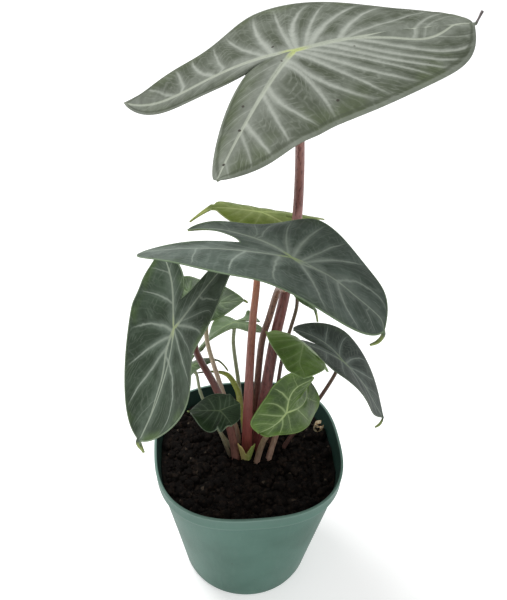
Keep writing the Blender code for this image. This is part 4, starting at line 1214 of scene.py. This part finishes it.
def make_pot():
    """The thin-walled pot with its rolled lip and drain holes."""
    pot = lofted("pot_skin", pot_profile, POT_SEGMENTS, pot_surface())
    form = bmesh.new()
    for index in range(DRAIN_HOLES):
        angle = math.tau * index / DRAIN_HOLES
        spot = Vector((DRAIN_CIRCLE * math.cos(angle), DRAIN_CIRCLE * math.sin(angle), 1)) * MM
        bmesh.ops.create_cone(form, cap_ends=True, segments=32, radius1=DRAIN_RADIUS * MM,
                              radius2=DRAIN_RADIUS * MM, depth=6 * MM, matrix=Matrix.Translation(spot))
    data = bpy.data.meshes.new("drain_holes")
    form.to_mesh(data)
    form.free()
    cutter = new_object("drain_holes", data)
    step = pot.modifiers.new("drain", "BOOLEAN")
    step.operation = "DIFFERENCE"
    step.object = cutter
    plain_mesh(pot)
    bpy.data.objects.remove(cutter)
    pot.data.set_sharp_from_angle(angle=math.radians(38))
    settle(pot, "pot")


# Soil

SOIL_TOP = 80.0
SOIL_RELIEF = 0.9
SOIL_LUMPS = 1.2
SOIL_CALM_RADIUS = 30.0
SOIL_GAP = 0.3
SOIL_LEVELS = (2, 20, 40, 60, 74)
SOIL_RINGS = 110
SOIL_SEGMENTS = 240
# Crumbs to the square metre, and their radii.
CRUMB_DENSITY = 210000.0
CRUMB_SIZES = (0.45, 3.4)
CRUMB_KNOBS = 1.7
KNOB_SCALE = 1.3
SPREAD_SEED = 3
SIZE_SEED = 4
TURN_SEED = 9
CRUMB_WALL_GAP = 3.0
CRUMB_SHAPES = 4


def soil_height(x, y):
    """Height of the peat's uneven top, calmer where the stalks stand."""
    bumps = math.sin(0.31 * x + 1.0) * math.cos(0.27 * y) + 0.6 * math.sin(0.17 * x - 0.36 * y + 2.0)
    calm = min(1.0, (math.hypot(x - 2, y - 4) / SOIL_CALM_RADIUS) ** 3)
    return SOIL_TOP + SOIL_RELIEF * bumps * calm


def peat_surface():
    """Damp peat: near black, partly its own colour and partly painted shade from the leaves over it, with
    brown and reddish crumbs and a few pale ones.
    """
    skin = Skin("peat_skin")
    fine = skin.cloud(0.7, 6.0, 0.75)
    crumb = skin.add("ShaderNodeSeparateColor", {"Color": skin.cells(0.75)["Color"]})["Red"]
    colour = skin.layers(
        # These colours are darker than the peat alone: painted shade from the plant over the soil.
        skin.mix(skin.fade(fine, 0.35, 0.7), (7, 5, 4), (23, 17, 14)),
        (skin.fade(skin.cloud(6.0), 0.56, 0.7), 0.6, (46, 37, 31)),
        (skin.fade(crumb, 0.75, 0.95), 0.4, (54, 40, 32)), (skin.fade(crumb, 0.99, 0.995), 0.6, (88, 78, 66)))
    return skin.dress(colour, 0.8, skin.bump(fine, 0.8), 0.12)


def soil_section(angle):
    """The root ball's section up the inside of the wall and in over its crumbled top."""
    inset = WALL + SOIL_GAP
    section = [(wall_reach(angle, level, inset), level) for level in SOIL_LEVELS]
    for share in np.linspace(1, 0.01, SOIL_RINGS) ** 0.9:
        reach = wall_reach(angle, SOIL_TOP, inset) * share
        x, y = reach * math.cos(angle), reach * math.sin(angle)
        spot = Vector((x, y, 0))
        lumps = noise.fractal(spot * 0.2, 0.7, 2.2, 6) + 0.6 * noise.fractal(spot * 0.42, 0.8, 2.2, 4)
        section.append((reach, soil_height(x, y) + SOIL_LUMPS * lumps * (1 - 0.8 * share**20)))
    return section


def crumb_tree(surface):
    """Scatter knobbly crumbs of several sizes over the soil's top."""
    smallest, largest = CRUMB_SIZES
    graph, given, result = new_group(
        "crumbs", "GeometryNodeTree",
        {"Geometry": None, "Density": CRUMB_DENSITY, "Smallest": smallest * MM, "Largest": largest * MM,
         "Wall Gap": CRUMB_WALL_GAP, "Seed": SPREAD_SEED}, {"Geometry": None})
    add = graph.add
    place = add("GeometryNodeInputPosition")["Position"]
    up = graph.part(add("GeometryNodeInputNormal")["Normal"], "Z")
    from_wall = add("GeometryNodeInputNamedAttribute", {"Name": "from_wall"})["Attribute"]
    limits = ((graph.part(place, "Z"), (SOIL_TOP - 5) * MM), (up, 0.2), (from_wall, given["Wall Gap"]))
    high, upright, clear = (add("FunctionNodeCompare", {0: value, 1: least}, operation="GREATER_THAN")[0]
                            for value, least in limits)
    chosen = add("FunctionNodeBooleanMath", {0: high, 1: upright}, operation="AND")[0]
    chosen = add("FunctionNodeBooleanMath", {0: chosen, 1: clear}, operation="AND")[0]
    points = add("GeometryNodeDistributePointsOnFaces",
                 {"Mesh": given["Geometry"], "Selection": chosen, "Density": given["Density"],
                  "Seed": given["Seed"]})["Points"]
    shapes = []
    for index in range(CRUMB_SHAPES):
        ball = add("GeometryNodeMeshIcoSphere", {"Radius": 1.0, "Subdivisions": 2})["Mesh"]
        spot = add("ShaderNodeVectorMath", {0: place, 1: (7.0 * index, 3.0, 1.0)}, operation="ADD")[0]
        knobs = add("ShaderNodeTexNoise", {"Vector": spot, "Scale": KNOB_SCALE, "Detail": 2.0})["Color"]
        push = add("ShaderNodeVectorMath", {0: knobs, 1: (0.5, 0.5, 0.5)}, operation="SUBTRACT")[0]
        push = add("ShaderNodeVectorMath", {0: push, "Scale": CRUMB_KNOBS}, operation="SCALE")[0]
        shaped = add("GeometryNodeSetPosition", {"Geometry": ball, "Offset": push})["Geometry"]
        shapes.append(add("GeometryNodeGeometryToInstance", {"Geometry": shaped})[0])
    lumps = add("GeometryNodeJoinGeometry", {"Geometry": shapes})[0]
    size = add("FunctionNodeRandomValue", {2: 0.0, 3: 1.0, "Seed": SIZE_SEED}, data_type="FLOAT")[1]
    sizes = {"Value": graph.calc("POWER", size, 3.0), "To Min": given["Smallest"], "To Max": given["Largest"]}
    reach = add("ShaderNodeMapRange", sizes)["Result"]
    turn = add("FunctionNodeRandomValue", {0: (0, 0, 0), 1: (6.28, 6.28, 6.28), "Seed": TURN_SEED},
               data_type="FLOAT_VECTOR")[0]
    placed = add("GeometryNodeInstanceOnPoints", {"Points": points, "Instance": lumps, "Pick Instance": True,
                                                  "Rotation": turn, "Scale": reach})[0]
    real = add("GeometryNodeRealizeInstances", {"Geometry": placed})[0]
    dressed = add("GeometryNodeSetMaterial", {"Geometry": real, "Material": surface})[0]
    graph.feed(result, {"Geometry": dressed})
    return graph.tree


def make_soil():
    """The peat with its crumbled top, and loose crumbs on it."""
    surface = peat_surface()
    soil = lofted("soil_skin", soil_section, SOIL_SEGMENTS, surface)
    gaps = []
    for point in soil.data.vertices:
        x, y = point.co.x / MM, point.co.y / MM
        gaps.append(wall_reach(math.atan2(y, x), SOIL_TOP, WALL) - math.hypot(x, y))
    soil.data.attributes.new("from_wall", "FLOAT", "POINT").data.foreach_set("value", gaps)
    settle(soil, "soil")
    crumbs = new_object("soil_crumbs", soil.data.copy())
    crumbs.modifiers.new("scatter", "NODES").node_group = crumb_tree(surface)
    plain_mesh(crumbs)
    crumbs.data.shade_smooth()
    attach(crumbs, BODY)


def make_plant():
    """All blades, stalks and small pieces of the plant."""
    marks = leaf_marks_group()
    for leaf in LEAVES:
        make_blade(leaf, marks)
    finishes = {name: stalk_surface(name, finish) for name, finish in STALK_FINISHES.items()}
    for leaf, stalk in zip(LEAVES, STALKS):
        make_stalk(stalk, leaf, finishes[stalk.finish])
    make_spear()
    make_sheath()
    make_withered_leaf()


# Stage

CAMERA_AT = (1.0, -311.0, 421.0)
CAMERA_PITCH = math.radians(36.3)
CAMERA_ROLL = math.radians(1.55)
CAMERA_LENS = 47.04
WORLD_LIGHT = 0.55
FLOOR_GLOW = 0.45
FLOOR_HALF = 4000
FLOOR_DROP = 0.2
LIGHT_TARGET = (0, 0, 150)
# Each light's place, size and power.
LIGHTS = {"key": ((-620, 460, 1740), 900, 26), "fill": ((1300, -700, 1100), 1400, 4)}


def make_camera():
    """The photograph's viewpoint: in front, above, looking down."""
    data = bpy.data.cameras.new("camera")
    data.lens = CAMERA_LENS
    data.sensor_width = 36
    data.clip_start = 0.01
    camera = new_object("camera", data)
    tilt = Matrix.Rotation(math.pi / 2 - CAMERA_PITCH, 4, "X") @ Matrix.Rotation(CAMERA_ROLL, 4, "Z")
    camera.matrix_world = Matrix.Translation(Vector(CAMERA_AT) * MM) @ tilt
    bpy.context.scene.camera = camera


def area_light(name, at, size, power):
    """A soft square light that faces the plant."""
    data = bpy.data.lights.new(name, "AREA")
    data.shape = "SQUARE"
    data.size = size * MM
    data.energy = power
    light = new_object(name, data)
    light.location = Vector(at) * MM
    light.rotation_euler = (Vector(LIGHT_TARGET) - Vector(at)).to_track_quat("-Z", "Y").to_euler()


def make_stage():
    """A pale floor and soft studio light."""
    paper = Skin("floor_paper").shade({
        "Base Color": (0.8, 0.8, 0.8, 1), "Roughness": 0.9, "Specular IOR Level": 0.1,
        "Emission Color": (1, 1, 1, 1), "Emission Strength": FLOOR_GLOW})
    corners = [(x * FLOOR_HALF, y * FLOOR_HALF, -FLOOR_DROP) for x, y in ((-1, -1), (1, -1), (1, 1), (-1, 1))]
    mesh_object("floor", corners, [[0, 1, 2, 3]], {}, [paper])
    world = bpy.data.worlds.new("studio")
    world.use_nodes = True
    sky = Graph(world.node_tree)
    strength = sky.calc("MAXIMUM", sky.add("ShaderNodeLightPath")["Is Camera Ray"], WORLD_LIGHT)
    sky.feed(world.node_tree.nodes["Background"].inputs, {"Color": (1, 1, 1, 1), "Strength": strength})
    bpy.context.scene.world = world
    bpy.context.scene.view_settings.view_transform = "Standard"
    for name, (at, size, power) in LIGHTS.items():
        area_light(name, at, size, power)


make_camera()
make_stage()
make_pot()
make_soil()
make_plant()
